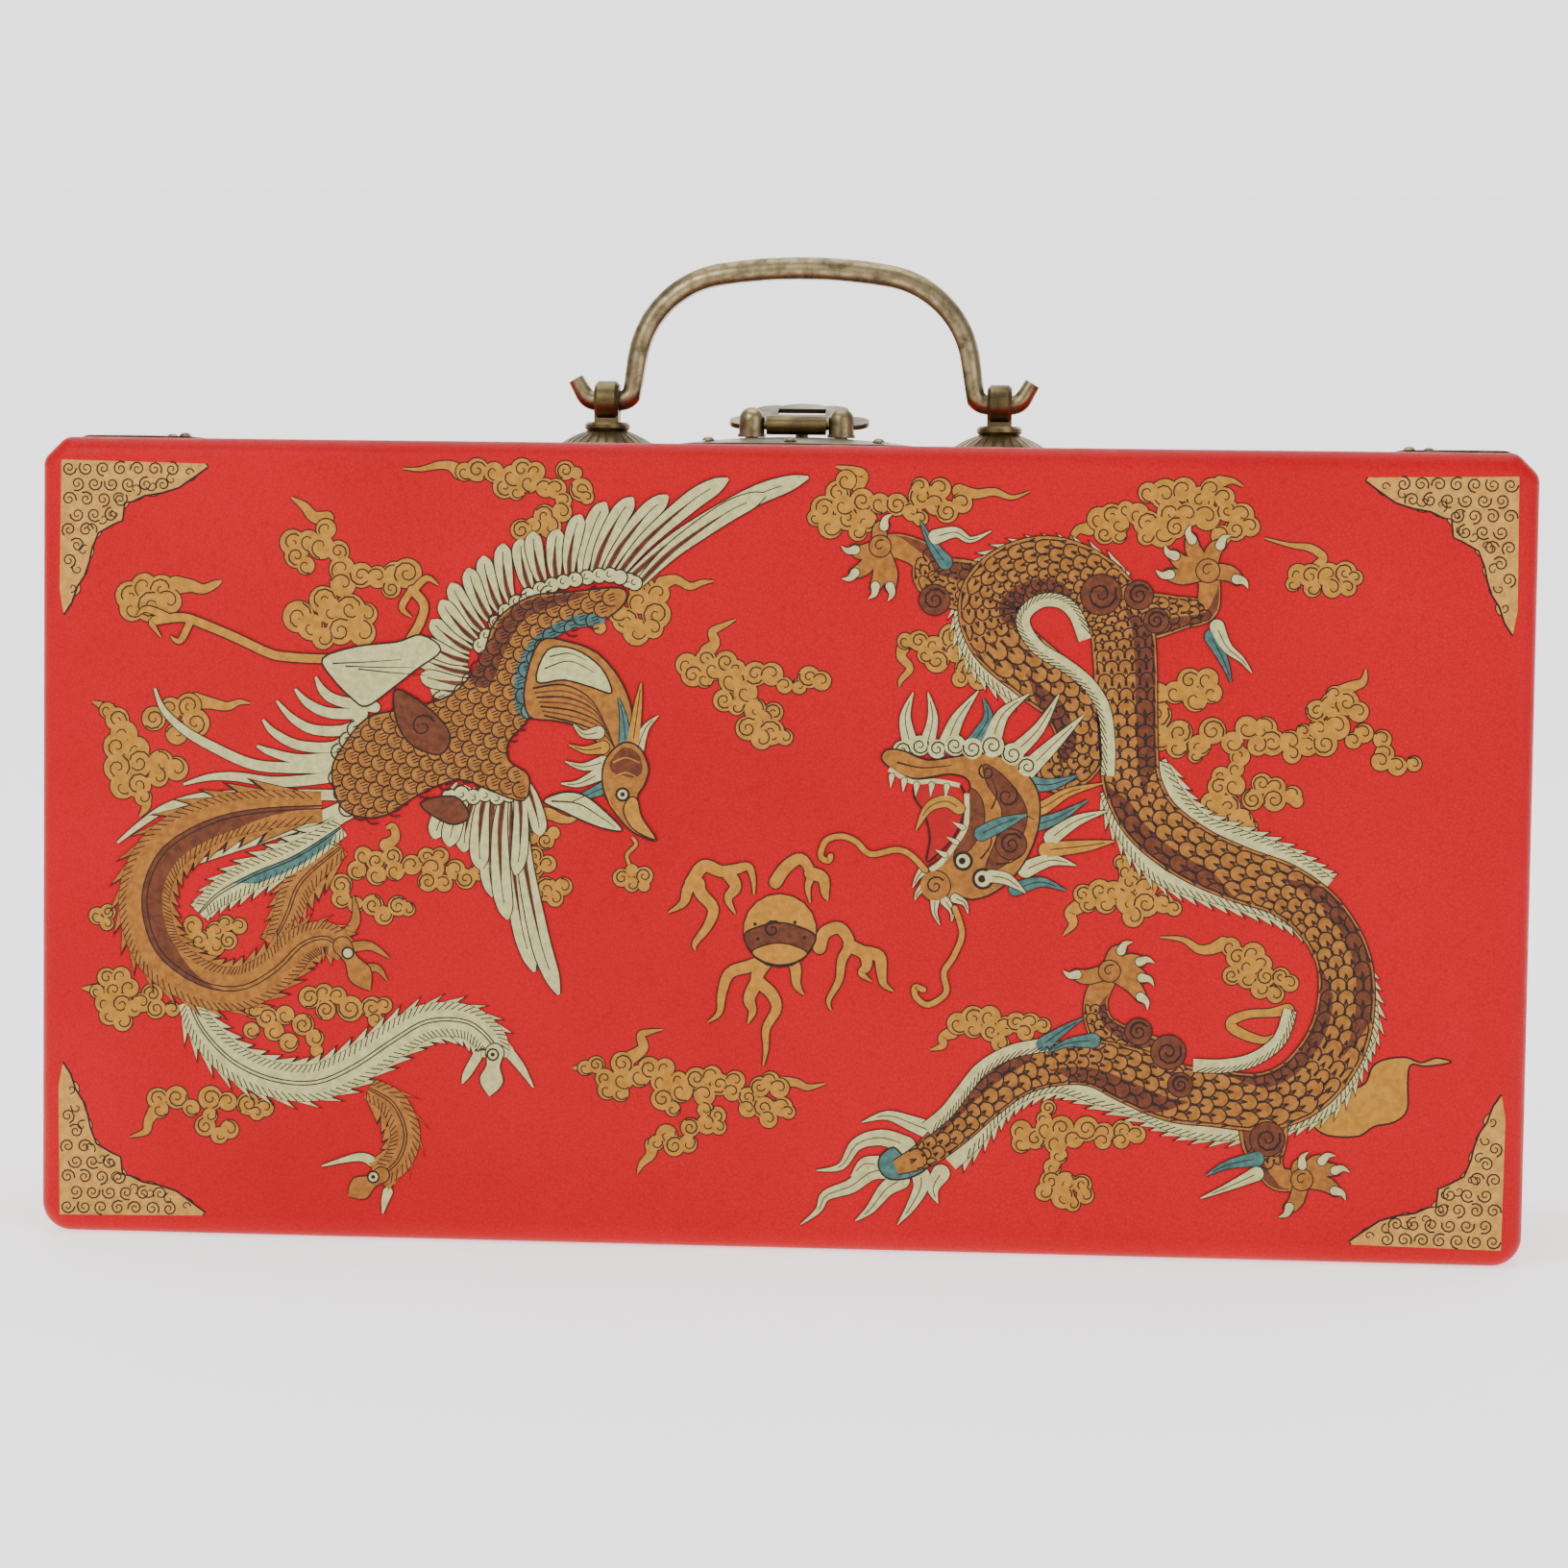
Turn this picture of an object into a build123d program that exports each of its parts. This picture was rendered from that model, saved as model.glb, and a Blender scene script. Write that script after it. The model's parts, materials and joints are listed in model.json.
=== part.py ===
"""A mahjong case of wood under red leatherette, standing on its hinge side as it is carried.

Sizes are in millimetres. X runs along the case, Z is up towards the handle, and Y runs through its
depth: the lid, with its printed face, is on the -Y side and the base with four drawers on the +Y side.
The origin is on the floor, under the middle of the case, and Y = 0 is the plane where the halves meet.
The side with the handle is called the front and the side with the hinges the back, as in use.
"""

import os
from math import cos, radians, sin, sqrt, tan

from build123d import *

# ---- the case
CASE_LENGTH = 300.0
CASE_HEIGHT = 162.0
LID_DEPTH = 48.0
BASE_DEPTH = 48.0
PARTING_GAP = 0.4
CORNER_CUT = 4.5
CORNER_SOFTEN = 3.0
BACK_CORNER_ROUND = 6.0
FACE_ROUND = 4.0
RIM_ROUND = 3.2
LEATHER = 0.8
LID_WALL = 5.0
LID_PANEL = 4.0
BASE_WALL = 5.0
BASE_PANEL = 5.0
BASE_FRONT_WALL = 9.0
LINING = 0.6
LINING_BELOW_RIM = 3.0
WOOD_FIT = 0.05

# ---- the base's inside
DECK_BELOW_RIM = 6.0
DECK = 3.0
DIVIDER = 6.0
STOP = 4.0

# ---- the tray on the deck
TRAY_WALL = 3.0
TRAY_FLOOR = 2.0
TRAY_RISE = 30.0
TRAY_SIDE_GAP = 1.2
TRAY_SWING_GAP = 1.5
TRAY_CUP_LENGTH = 62.0

# ---- the drawers
DRAWER_GAP = 0.3
FACE_GAP = 0.45
FACE_BOARD = 6.0
FACE_EDGE = 0.8
DRAWER_WALL = 2.5
DRAWER_FLOOR = 2.0
DRAWER_STOP_GAP = 0.5
NOTCH_RADIUS = 9.0
KNOB_RADIUS = 5.2
KNOB_REACH = 6.0
KNOB_NECK = 2.2
KNOB_SHANK = 1.4

# ---- the handle
EYE_SPACING = 84.2
HANDLE_DEPTH = 14.0
AXIS_ABOVE = 10.3
ROSETTE_RADIUS = 11.5
ROSETTE_RISE = 3.9
ROSETTE_TOP_RADIUS = 4.3
FLUTES = 30
FLUTE_RADIUS = 0.4
COLLAR_RADIUS = 4.85
COLLAR = 1.8
EYE_RADIUS = 4.3
EYE_WIDTH = 5.2
EYE_PLAY = 0.45
EYE_NECK = 4.4
EYE_SHANK = 1.6
SHANK_PLAY = 0.1
NUT_RADIUS = 3.4
NUT = 2.4
WASHER_RADIUS = 4.2
WASHER = 0.7
COUNTERBORE_RADIUS = 4.7
COUNTERBORE = 4.2
BAIL_RISE = 29.5
BAIL_SHOULDER_RISE = 24.6
BAIL_SHOULDER_IN = 9.0
BAIL_LEG_IN = 5.2
BAIL_LEG_RADIUS = 2.3
BAIL_JOURNAL_RADIUS = 2.05
BAIL_GRIP_RADIUS = 3.0
BAIL_TIP_RADIUS = 1.7
BAIL_LEG_BEND = 3.2
BAIL_SHOULDER_BEND = 21.0
BAIL_CROWN_BEND = 110.0
HORN_OUT = 4.2
HORN_BEND_OUT = 2.7
HORN_RISE = 4.6
HORN_BEND = 3.0

# ---- the clasp
PLATE_RADIUS = 26.0
PLATE = 0.8
PLATE_DOME = 1.8
PLATE_GAP = 0.5
POST_SPACING = 18.8
POST_DEPTH = 5.0
POST_RADIUS = 2.7
POST_FOOT_RADIUS = 2.95
POST_FOOT = 0.6
POST_RISE = 8.7
HASP_AXIS_ABOVE = 5.0
BARREL_RADIUS = 1.95
BARREL_END_GAP = 0.2
CLASP_PIN_RADIUS = 0.9
RUNNING_GAP = 0.07
HASP = 1.0
HASP_LENGTH = 24.0
HASP_WIDTH = 29.6
HASP_LIFT_AT_REST = 15.0
KNOB_FROM_PIN = 16.5
TURN_LENGTH = 8.4
TURN_WIDTH = 3.4
TURN_THICKNESS = 1.5
TURN_NECK = 1.4
SLOT_MARGIN = 0.9
CLASP_GAP = 0.35

# ---- the corner brackets
BRACKET = 0.8
BRACKET_REACH = 26.0
BRACKET_WIDTH = 24.0
BRACKET_FROM_RIM = 5.0
BRACKET_END_ROUND = 9.0

# ---- nails and screws
NAIL_HEAD = 1.35
NAIL_HEAD_RISE = 0.8
NAIL_SHANK = 0.6
NAIL_LENGTH = 3.6
PLATE_NAIL_RING = 22.5
PLATE_NAIL_ANGLES = (-52.0, 0.0, 52.0)
SCREW_HEAD = 1.5
SCREW_SHANK = 0.8
SCREW_LENGTH = 3.6

# ---- the hinges
HINGE_SPACING = 190.0
HINGE_LENGTH = 28.0
HINGE_LEAF_WIDTH = 13.0
HINGE_LEAF = 1.0
HINGE_BARREL = 1.3
HINGE_PIN = 0.65
HINGE_SET_IN = 0.1
HINGE_AXIS_ABOVE = HINGE_BARREL + HINGE_SET_IN
HINGE_MIDDLE_KNUCKLE = 10.0
HINGE_KNUCKLE_GAP = 0.3
HINGE_LEAF_START = 2.0
HINGE_POCKET_GAP = 0.1
HINGE_BARREL_ROOM = 0.35
HINGE_SCREW_SPACING = 16.0
HINGE_SCREW_DEPTH = 7.5

# ---- places worked out from the sizes above
CENTRE_Z = CASE_HEIGHT / 2
TOP = CASE_HEIGHT
HALF_GAP = PARTING_GAP / 2
LID_FACE = -LID_DEPTH
BASE_FACE = BASE_DEPTH
LID_INSET = LEATHER + LID_WALL
LID_FLOOR = LID_FACE + LEATHER + LID_PANEL
BASE_INSET = LEATHER + BASE_WALL
BASE_FLOOR = BASE_FACE - LEATHER - BASE_PANEL
BAY_LOW = BASE_INSET
BAY_HIGH = TOP - LEATHER - BASE_FRONT_WALL
DECK_NEAR = HALF_GAP + DECK_BELOW_RIM
DECK_FAR = DECK_NEAR + DECK
BAY_MIDDLE = (BAY_LOW + BAY_HIGH) / 2
INSIDE_END = CASE_LENGTH / 2 - BASE_INSET
WOOD_END = CASE_LENGTH / 2 - LEATHER
HANDLE_AXIS = TOP + AXIS_ABOVE
HASP_AXIS = TOP + HASP_AXIS_ABOVE
PLATE_CROWN = PLATE + PLATE_DOME
TURN_DEPTH = -POST_DEPTH + KNOB_FROM_PIN
HASP_TOP_CLOSED = HASP_AXIS_ABOVE - BARREL_RADIUS + HASP
FAR = 400.0

os.makedirs("parts", exist_ok=True)


def save(part, name):
    """Labels one finished piece and writes it under its name."""
    part.label = name
    export_step(part, f"parts/{name}.step")


def span_box(x, y, z):
    """A box between three pairs of low and high values."""
    with BuildPart() as box:
        with Locations(((x[0] + x[1]) / 2, (y[0] + y[1]) / 2, (z[0] + z[1]) / 2)):
            Box(x[1] - x[0], y[1] - y[0], z[1] - z[0])
    return box.part


def case_block(y_low, y_high, inset=0.0, round_low=0.0, round_high=0.0):
    """The case's outline, cut at the top corners and round at the others, taken in by inset."""
    with BuildPart() as block:
        with BuildSketch(Plane.XZ.offset(-y_high)) as outline:
            with Locations((0, CENTRE_Z)):
                Rectangle(CASE_LENGTH - 2 * inset, CASE_HEIGHT - 2 * inset)
            chamfer(outline.vertices().group_by(Axis.Y)[-1], CORNER_CUT - inset * (2 - sqrt(2)))
            cut = [corner for row in outline.vertices().group_by(Axis.Y)[1:] for corner in row]
            fillet(cut, max(CORNER_SOFTEN - inset, CORNER_SOFTEN / 3))
            fillet(outline.vertices().group_by(Axis.Y)[0], BACK_CORNER_ROUND - inset)
        extrude(amount=y_high - y_low)
        if round_low:
            fillet(block.faces().sort_by(Axis.Y)[0].edges(), round_low)
        if round_high:
            fillet(block.faces().sort_by(Axis.Y)[-1].edges(), round_high)
    return block.part


def top_holes(places, radius, depth):
    """Round holes cut straight down from the top of the case at (x, y) places."""
    with BuildPart() as holes:
        with Locations(*[(x, y, TOP - depth / 2) for x, y in places]):
            Cylinder(radius, depth + 2 * PLATE_CROWN)
    return holes.part


# ================================================================ fasteners shared by several pieces

PLATE_NAIL_PLACES = [
    (PLATE_NAIL_RING * sin(radians(angle)), PLATE_NAIL_RING * cos(radians(angle)))
    for angle in PLATE_NAIL_ANGLES
]
LID_PLATE_NAILS = [(x, -y) for x, y in PLATE_NAIL_PLACES]
BASE_PLATE_NAILS = PLATE_NAIL_PLACES
BRACKET_MIDDLE = -BRACKET_FROM_RIM - BRACKET_WIDTH / 2
BRACKET_NAIL_IN = BRACKET_REACH - BRACKET_END_ROUND / 2
BRACKET_NAIL_STEP = BRACKET_WIDTH / 5
BRACKET_TOP_NAILS = [
    (side * (CASE_LENGTH / 2 - BRACKET_NAIL_IN + shift / 2), BRACKET_MIDDLE + shift)
    for side in (-1, 1)
    for shift in (-BRACKET_NAIL_STEP, BRACKET_NAIL_STEP)
]
BRACKET_END_NAILS = [
    (BRACKET_MIDDLE + shift, TOP - BRACKET_NAIL_IN + shift / 2)
    for shift in (-BRACKET_NAIL_STEP, BRACKET_NAIL_STEP)
]
POST_PLACES = [(-POST_SPACING / 2, -POST_DEPTH), (POST_SPACING / 2, -POST_DEPTH)]
EYE_PLACES = [(-EYE_SPACING / 2, HANDLE_DEPTH), (EYE_SPACING / 2, HANDLE_DEPTH)]
HINGE_PLACES = (-HINGE_SPACING / 2, HINGE_SPACING / 2)
HINGE_SCREW_XS = [
    middle + shift
    for middle in HINGE_PLACES
    for shift in (-HINGE_SCREW_SPACING / 2, HINGE_SCREW_SPACING / 2)
]


def nail(direction_plane, height):
    """One nail with a low domed head, its head's underside at height along the plane's normal."""
    seat = direction_plane.offset(height)
    with BuildPart() as one:
        with BuildSketch(Plane(seat.origin, x_dir=seat.x_dir, z_dir=-seat.y_dir)):
            with BuildLine():
                dome = ThreePointArc((0, NAIL_HEAD_RISE), (NAIL_HEAD * 0.72, NAIL_HEAD_RISE * 0.66), (NAIL_HEAD, 0))
                Polyline(dome @ 1, (NAIL_SHANK, 0), (NAIL_SHANK, -NAIL_LENGTH), (0, -NAIL_LENGTH), dome @ 0)
            make_face()
        revolve(axis=Axis(seat.origin, seat.z_dir))
    return one.part


def plate_height(distance):
    """How far the top of a domed clasp plate stands above the case, at a distance from its centre."""
    ball = (PLATE_RADIUS**2 + PLATE_DOME**2) / (2 * PLATE_DOME)
    return PLATE + PLATE_DOME - ball + sqrt(ball**2 - distance**2)


def top_nails(places, height):
    """Nails driven down into the top of the case."""
    return [nail(Plane((x, y, TOP)), height) for x, y in places]


def end_nails(side, places):
    """Nails driven into one end of the case through a bracket's leg."""
    end = side * CASE_LENGTH / 2
    return [nail(Plane((end, y, z), z_dir=(side, 0, 0)), BRACKET) for y, z in places]


def nail_cutter():
    """Everything that the lid's and the base's nails and posts pass through."""
    with BuildPart() as cutter:
        for plane in (
            [Plane((x, y, TOP)) for x, y in LID_PLATE_NAILS + BASE_PLATE_NAILS + BRACKET_TOP_NAILS]
            + [Plane((side * CASE_LENGTH / 2, y, z), z_dir=(side, 0, 0))
               for side in (-1, 1) for y, z in BRACKET_END_NAILS]
        ):
            with BuildSketch(plane.offset(-NAIL_LENGTH)):
                Circle(NAIL_SHANK + WOOD_FIT)
            extrude(amount=2 * NAIL_LENGTH)
        with Locations(*[(x, y, TOP) for x, y in POST_PLACES]):
            Cylinder(POST_RADIUS / 2 + WOOD_FIT, 2 * NAIL_LENGTH)
        with Locations(*[(x, HINGE_SCREW_DEPTH * side, 0) for x in HINGE_SCREW_XS for side in (-1, 1)]):
            Cylinder(SCREW_SHANK + WOOD_FIT, 2 * (HINGE_SET_IN + SCREW_LENGTH))
    return cutter.part


def hinge_pockets():
    """The rebates let into both halves for the hinge leaves and barrels."""
    half = HINGE_LENGTH / 2 + HINGE_POCKET_GAP
    reach = HINGE_LEAF_WIDTH + HINGE_POCKET_GAP
    with BuildPart() as pockets:
        for middle in HINGE_PLACES:
            add(span_box((middle - half, middle + half), (-reach, reach), (-1, HINGE_SET_IN + HINGE_LEAF)))
            with Locations(Location((middle, 0, HINGE_AXIS_ABOVE), (0, 90, 0))):
                Cylinder(HINGE_BARREL + HINGE_BARREL_ROOM, 2 * half)
    return pockets.part


NAIL_CUTTER = nail_cutter()
HINGE_POCKETS = hinge_pockets()

# ================================================================ the lid


def lid_cavity(high):
    """The open inside of the lid, up to a height beyond the rim."""
    end = CASE_LENGTH / 2 - LID_INSET
    return span_box((-end, end), (LID_FLOOR, high), (LID_INSET, TOP - LID_INSET))


def lid_wood():
    """The lid's wooden body before it is split into its boards."""
    with BuildPart() as wood:
        add(case_block(LID_FACE + LEATHER, -HALF_GAP - LEATHER, LEATHER,
                       FACE_ROUND - LEATHER, RIM_ROUND - LEATHER))
    return wood.part


def save_leather(skin, seam, half):
    """Writes a half's cover as two sheets: the strip that it stands on, and the rest."""
    for name, z in ((f"{half}_back_leather", (-FAR, seam)), (f"{half}_leather", (seam, FAR))):
        with BuildPart() as sheet:
            add(skin)
            add(span_box((-FAR, FAR), (-FAR, FAR), z), mode=Mode.INTERSECT)
        save(sheet.part, name)


def make_lid():
    wood = lid_wood()
    with BuildPart() as leather:
        add(case_block(LID_FACE, -HALF_GAP, 0.0, FACE_ROUND, RIM_ROUND))
        add(wood, mode=Mode.SUBTRACT)
        add(lid_cavity(1.0), mode=Mode.SUBTRACT)
        add(HINGE_POCKETS, mode=Mode.SUBTRACT)
        add(NAIL_CUTTER, mode=Mode.SUBTRACT)
    save_leather(leather.part, LID_INSET, "lid")

    with BuildPart() as panel:
        add(wood)
        add(span_box((-FAR, FAR), (LID_FACE, LID_FLOOR), (-FAR, FAR)), mode=Mode.INTERSECT)
    save(panel.part, "lid_panel")

    zones = {
        "lid_front_board": ((-FAR, FAR), (TOP - LID_INSET, FAR)),
        "lid_back_board": ((-FAR, FAR), (-FAR, LID_INSET)),
        "lid_left_board": ((-FAR, 0), (LID_INSET, TOP - LID_INSET)),
        "lid_right_board": ((0, FAR), (LID_INSET, TOP - LID_INSET)),
    }
    for name, (x, z) in zones.items():
        with BuildPart() as board:
            add(wood)
            add(lid_cavity(1.0), mode=Mode.SUBTRACT)
            add(HINGE_POCKETS, mode=Mode.SUBTRACT)
            add(NAIL_CUTTER, mode=Mode.SUBTRACT)
            add(span_box(x, (LID_FLOOR, 0), z), mode=Mode.INTERSECT)
        save(board.part, name)

    end = CASE_LENGTH / 2 - LID_INSET
    rim = -HALF_GAP - LINING_BELOW_RIM
    with BuildPart() as lining:
        add(span_box((-end, end), (LID_FLOOR, rim), (LID_INSET, TOP - LID_INSET)))
        add(span_box((LINING - end, end - LINING), (LID_FLOOR + LINING, 0),
                     (LID_INSET + LINING, TOP - LID_INSET - LINING)), mode=Mode.SUBTRACT)
    save(lining.part, "lid_lining")


def make_brackets():
    """Brass corner guards that follow the lid's two front corners."""
    near = BRACKET_MIDDLE - BRACKET_WIDTH / 2
    far = BRACKET_MIDDLE + BRACKET_WIDTH / 2
    for side, name in ((-1, "lid_bracket_left"), (1, "lid_bracket_right")):
        ends = sorted((side * (CASE_LENGTH / 2 - BRACKET_REACH), side * FAR))
        with BuildPart() as bracket:
            add(case_block(near, far, -BRACKET))
            add(case_block(near - 1, far + 1), mode=Mode.SUBTRACT)
            add(span_box(ends, (near, far), (TOP - BRACKET_REACH, FAR)), mode=Mode.INTERSECT)
            inner = bracket.edges().filter_by(Axis.Z).group_by(Axis.X)[0 if side > 0 else -1]
            lower = bracket.edges().filter_by(Axis.X).group_by(Axis.Z)[0]
            fillet(inner + lower, BRACKET_END_ROUND)
            add(NAIL_CUTTER, mode=Mode.SUBTRACT)
        save(bracket.part, name)

    nails = top_nails(LID_PLATE_NAILS, plate_height(PLATE_NAIL_RING - NAIL_HEAD))
    nails += top_nails(BRACKET_TOP_NAILS, BRACKET)
    for side in (-1, 1):
        nails += end_nails(side, BRACKET_END_NAILS)
    save(Compound(children=nails), "lid_nails")
    save(Compound(children=top_nails(BASE_PLATE_NAILS, plate_height(PLATE_NAIL_RING - NAIL_HEAD))),
         "base_nails")


# ================================================================ the clasp


def domed_plate(y_side):
    """Half of a round domed plate, on one side of the parting plane."""
    with BuildPart() as plate:
        with BuildSketch(Plane.XZ) as section:
            ball = (PLATE_RADIUS**2 + PLATE_DOME**2) / (2 * PLATE_DOME)
            middle = PLATE_RADIUS / 2
            rise = PLATE_DOME - ball + sqrt(ball**2 - middle**2)
            with BuildLine():
                ThreePointArc((PLATE_RADIUS, TOP), (middle, TOP + rise), (0, TOP + PLATE_DOME))
                Line((0, TOP + PLATE_DOME), (0, TOP + PLATE_CROWN))
                ThreePointArc((0, TOP + PLATE_CROWN), (middle, TOP + rise + PLATE),
                              (PLATE_RADIUS, TOP + PLATE))
                Line((PLATE_RADIUS, TOP + PLATE), (PLATE_RADIUS, TOP))
            make_face()
        revolve(axis=Axis.Z)
        depths = sorted((y_side * PLATE_GAP, y_side * FAR))
        add(span_box((-FAR, FAR), depths, (TOP, TOP + FAR)), mode=Mode.INTERSECT)
        add(NAIL_CUTTER, mode=Mode.SUBTRACT)
    return plate.part


def make_clasp():
    save(domed_plate(-1), "clasp_lid_plate")

    with BuildPart() as base_plate:
        add(domed_plate(1))
        with Locations((0, TURN_DEPTH, TOP)):
            Cylinder(TURN_NECK + RUNNING_GAP, 4 * PLATE_CROWN, mode=Mode.SUBTRACT)
    save(base_plate.part, "clasp_base_plate")

    foot = plate_height(sqrt((POST_SPACING / 2 - POST_FOOT_RADIUS) ** 2 + (POST_DEPTH - POST_RADIUS) ** 2))
    with BuildPart() as posts:
        for x, y in POST_PLACES:
            with BuildPart(mode=Mode.PRIVATE) as post:
                with BuildSketch(Plane((x, y, TOP + foot))):
                    Circle(POST_FOOT_RADIUS)
                extrude(amount=POST_FOOT)
                with BuildSketch(Plane((x, y, TOP + foot))):
                    Circle(POST_RADIUS)
                extrude(amount=POST_RISE - foot - POST_RADIUS)
                with Locations((x, y, TOP + POST_RISE - POST_RADIUS)):
                    Sphere(POST_RADIUS)
                with BuildSketch(Plane((x, y, TOP - NAIL_LENGTH))):
                    Circle(POST_RADIUS / 2)
                extrude(amount=NAIL_LENGTH + foot)
            add(post.part)
        with Locations(Location((0, -POST_DEPTH, HASP_AXIS), (0, 90, 0))):
            Cylinder(CLASP_PIN_RADIUS + WOOD_FIT, POST_SPACING + 2 * POST_RADIUS, mode=Mode.SUBTRACT)
    save(posts.part, "clasp_posts")

    with BuildPart() as pin:
        with Locations(Location((0, -POST_DEPTH, HASP_AXIS), (0, 90, 0))):
            Cylinder(CLASP_PIN_RADIUS, POST_SPACING + POST_RADIUS)
    save(pin.part, "clasp_pin")

    make_hasp()

    with BuildPart() as knob:
        neck_foot = -NAIL_LENGTH / 2
        with BuildSketch(Plane((0, TURN_DEPTH, TOP + neck_foot))):
            Circle(TURN_NECK)
        extrude(amount=HASP_TOP_CLOSED + CLASP_GAP - neck_foot)
        with BuildSketch(Plane((0, TURN_DEPTH, TOP + HASP_TOP_CLOSED + CLASP_GAP))) as wings:
            lobe = TURN_WIDTH / 2
            with Locations((lobe - TURN_LENGTH / 2, 0), (TURN_LENGTH / 2 - lobe, 0)):
                Circle(lobe)
            Rectangle(TURN_LENGTH - TURN_WIDTH, TURN_WIDTH * 0.72)
        extrude(amount=TURN_THICKNESS)
        chamfer(knob.faces().sort_by(Axis.Z)[-1].edges(), TURN_THICKNESS / 4)
    save(knob.part, "turn_knob")


def make_hasp():
    """The swinging hasp: a rolled barrel and a cloud-headed leaf, made flat and then lifted to its rest."""
    barrel_half = POST_SPACING / 2 - POST_FOOT_RADIUS - BARREL_END_GAP
    leaf_low = HASP_AXIS - BARREL_RADIUS
    wing = HASP_WIDTH / 2
    start = max(POST_FOOT_RADIUS, POST_RISE - HASP_AXIS_ABOVE) + CLASP_GAP - POST_DEPTH
    tip = HASP_LENGTH - POST_DEPTH
    shoulder = start + (tip - start) * 0.42
    waist = wing * 0.62
    with BuildPart() as hasp:
        with BuildSketch(Plane((0, 0, leaf_low))) as leaf:
            with BuildLine():
                right = Line((0, start), (wing * 0.72, start))
                lobe = ThreePointArc(right @ 1, (wing, (start + shoulder) / 2), (waist, shoulder))
                neck = ThreePointArc(lobe @ 1, (wing * 0.58, shoulder + 2.6), (wing * 0.66, shoulder + 5))
                head = ThreePointArc(neck @ 1, (wing * 0.62, tip - 3.2), (wing * 0.3, tip - 1.9))
                ThreePointArc(head @ 1, (wing * 0.17, tip - 0.4), (0, tip))
                mirror(about=Plane.YZ)
            make_face()
            with Locations((0, (start - POST_DEPTH) / 2)):
                Rectangle(2 * barrel_half, start + POST_DEPTH + 1)
            with Locations((0, TURN_DEPTH)):
                Rectangle(TURN_LENGTH + 2 * SLOT_MARGIN, TURN_WIDTH + 2 * SLOT_MARGIN, mode=Mode.SUBTRACT)
        extrude(amount=HASP)
        with Locations(Location((0, -POST_DEPTH, HASP_AXIS), (0, 90, 0))):
            Cylinder(BARREL_RADIUS, 2 * barrel_half)
            Cylinder(CLASP_PIN_RADIUS + RUNNING_GAP, 2 * barrel_half, mode=Mode.SUBTRACT)
    pivot = Axis((0, -POST_DEPTH, HASP_AXIS), (1, 0, 0))
    save(hasp.part.rotate(pivot, HASP_LIFT_AT_REST), "hasp")


# ================================================================ the base


def base_wood():
    with BuildPart() as wood:
        add(case_block(HALF_GAP + LEATHER, BASE_FACE - LEATHER, LEATHER,
                       RIM_ROUND - LEATHER, FACE_ROUND - LEATHER))
    return wood.part


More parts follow.
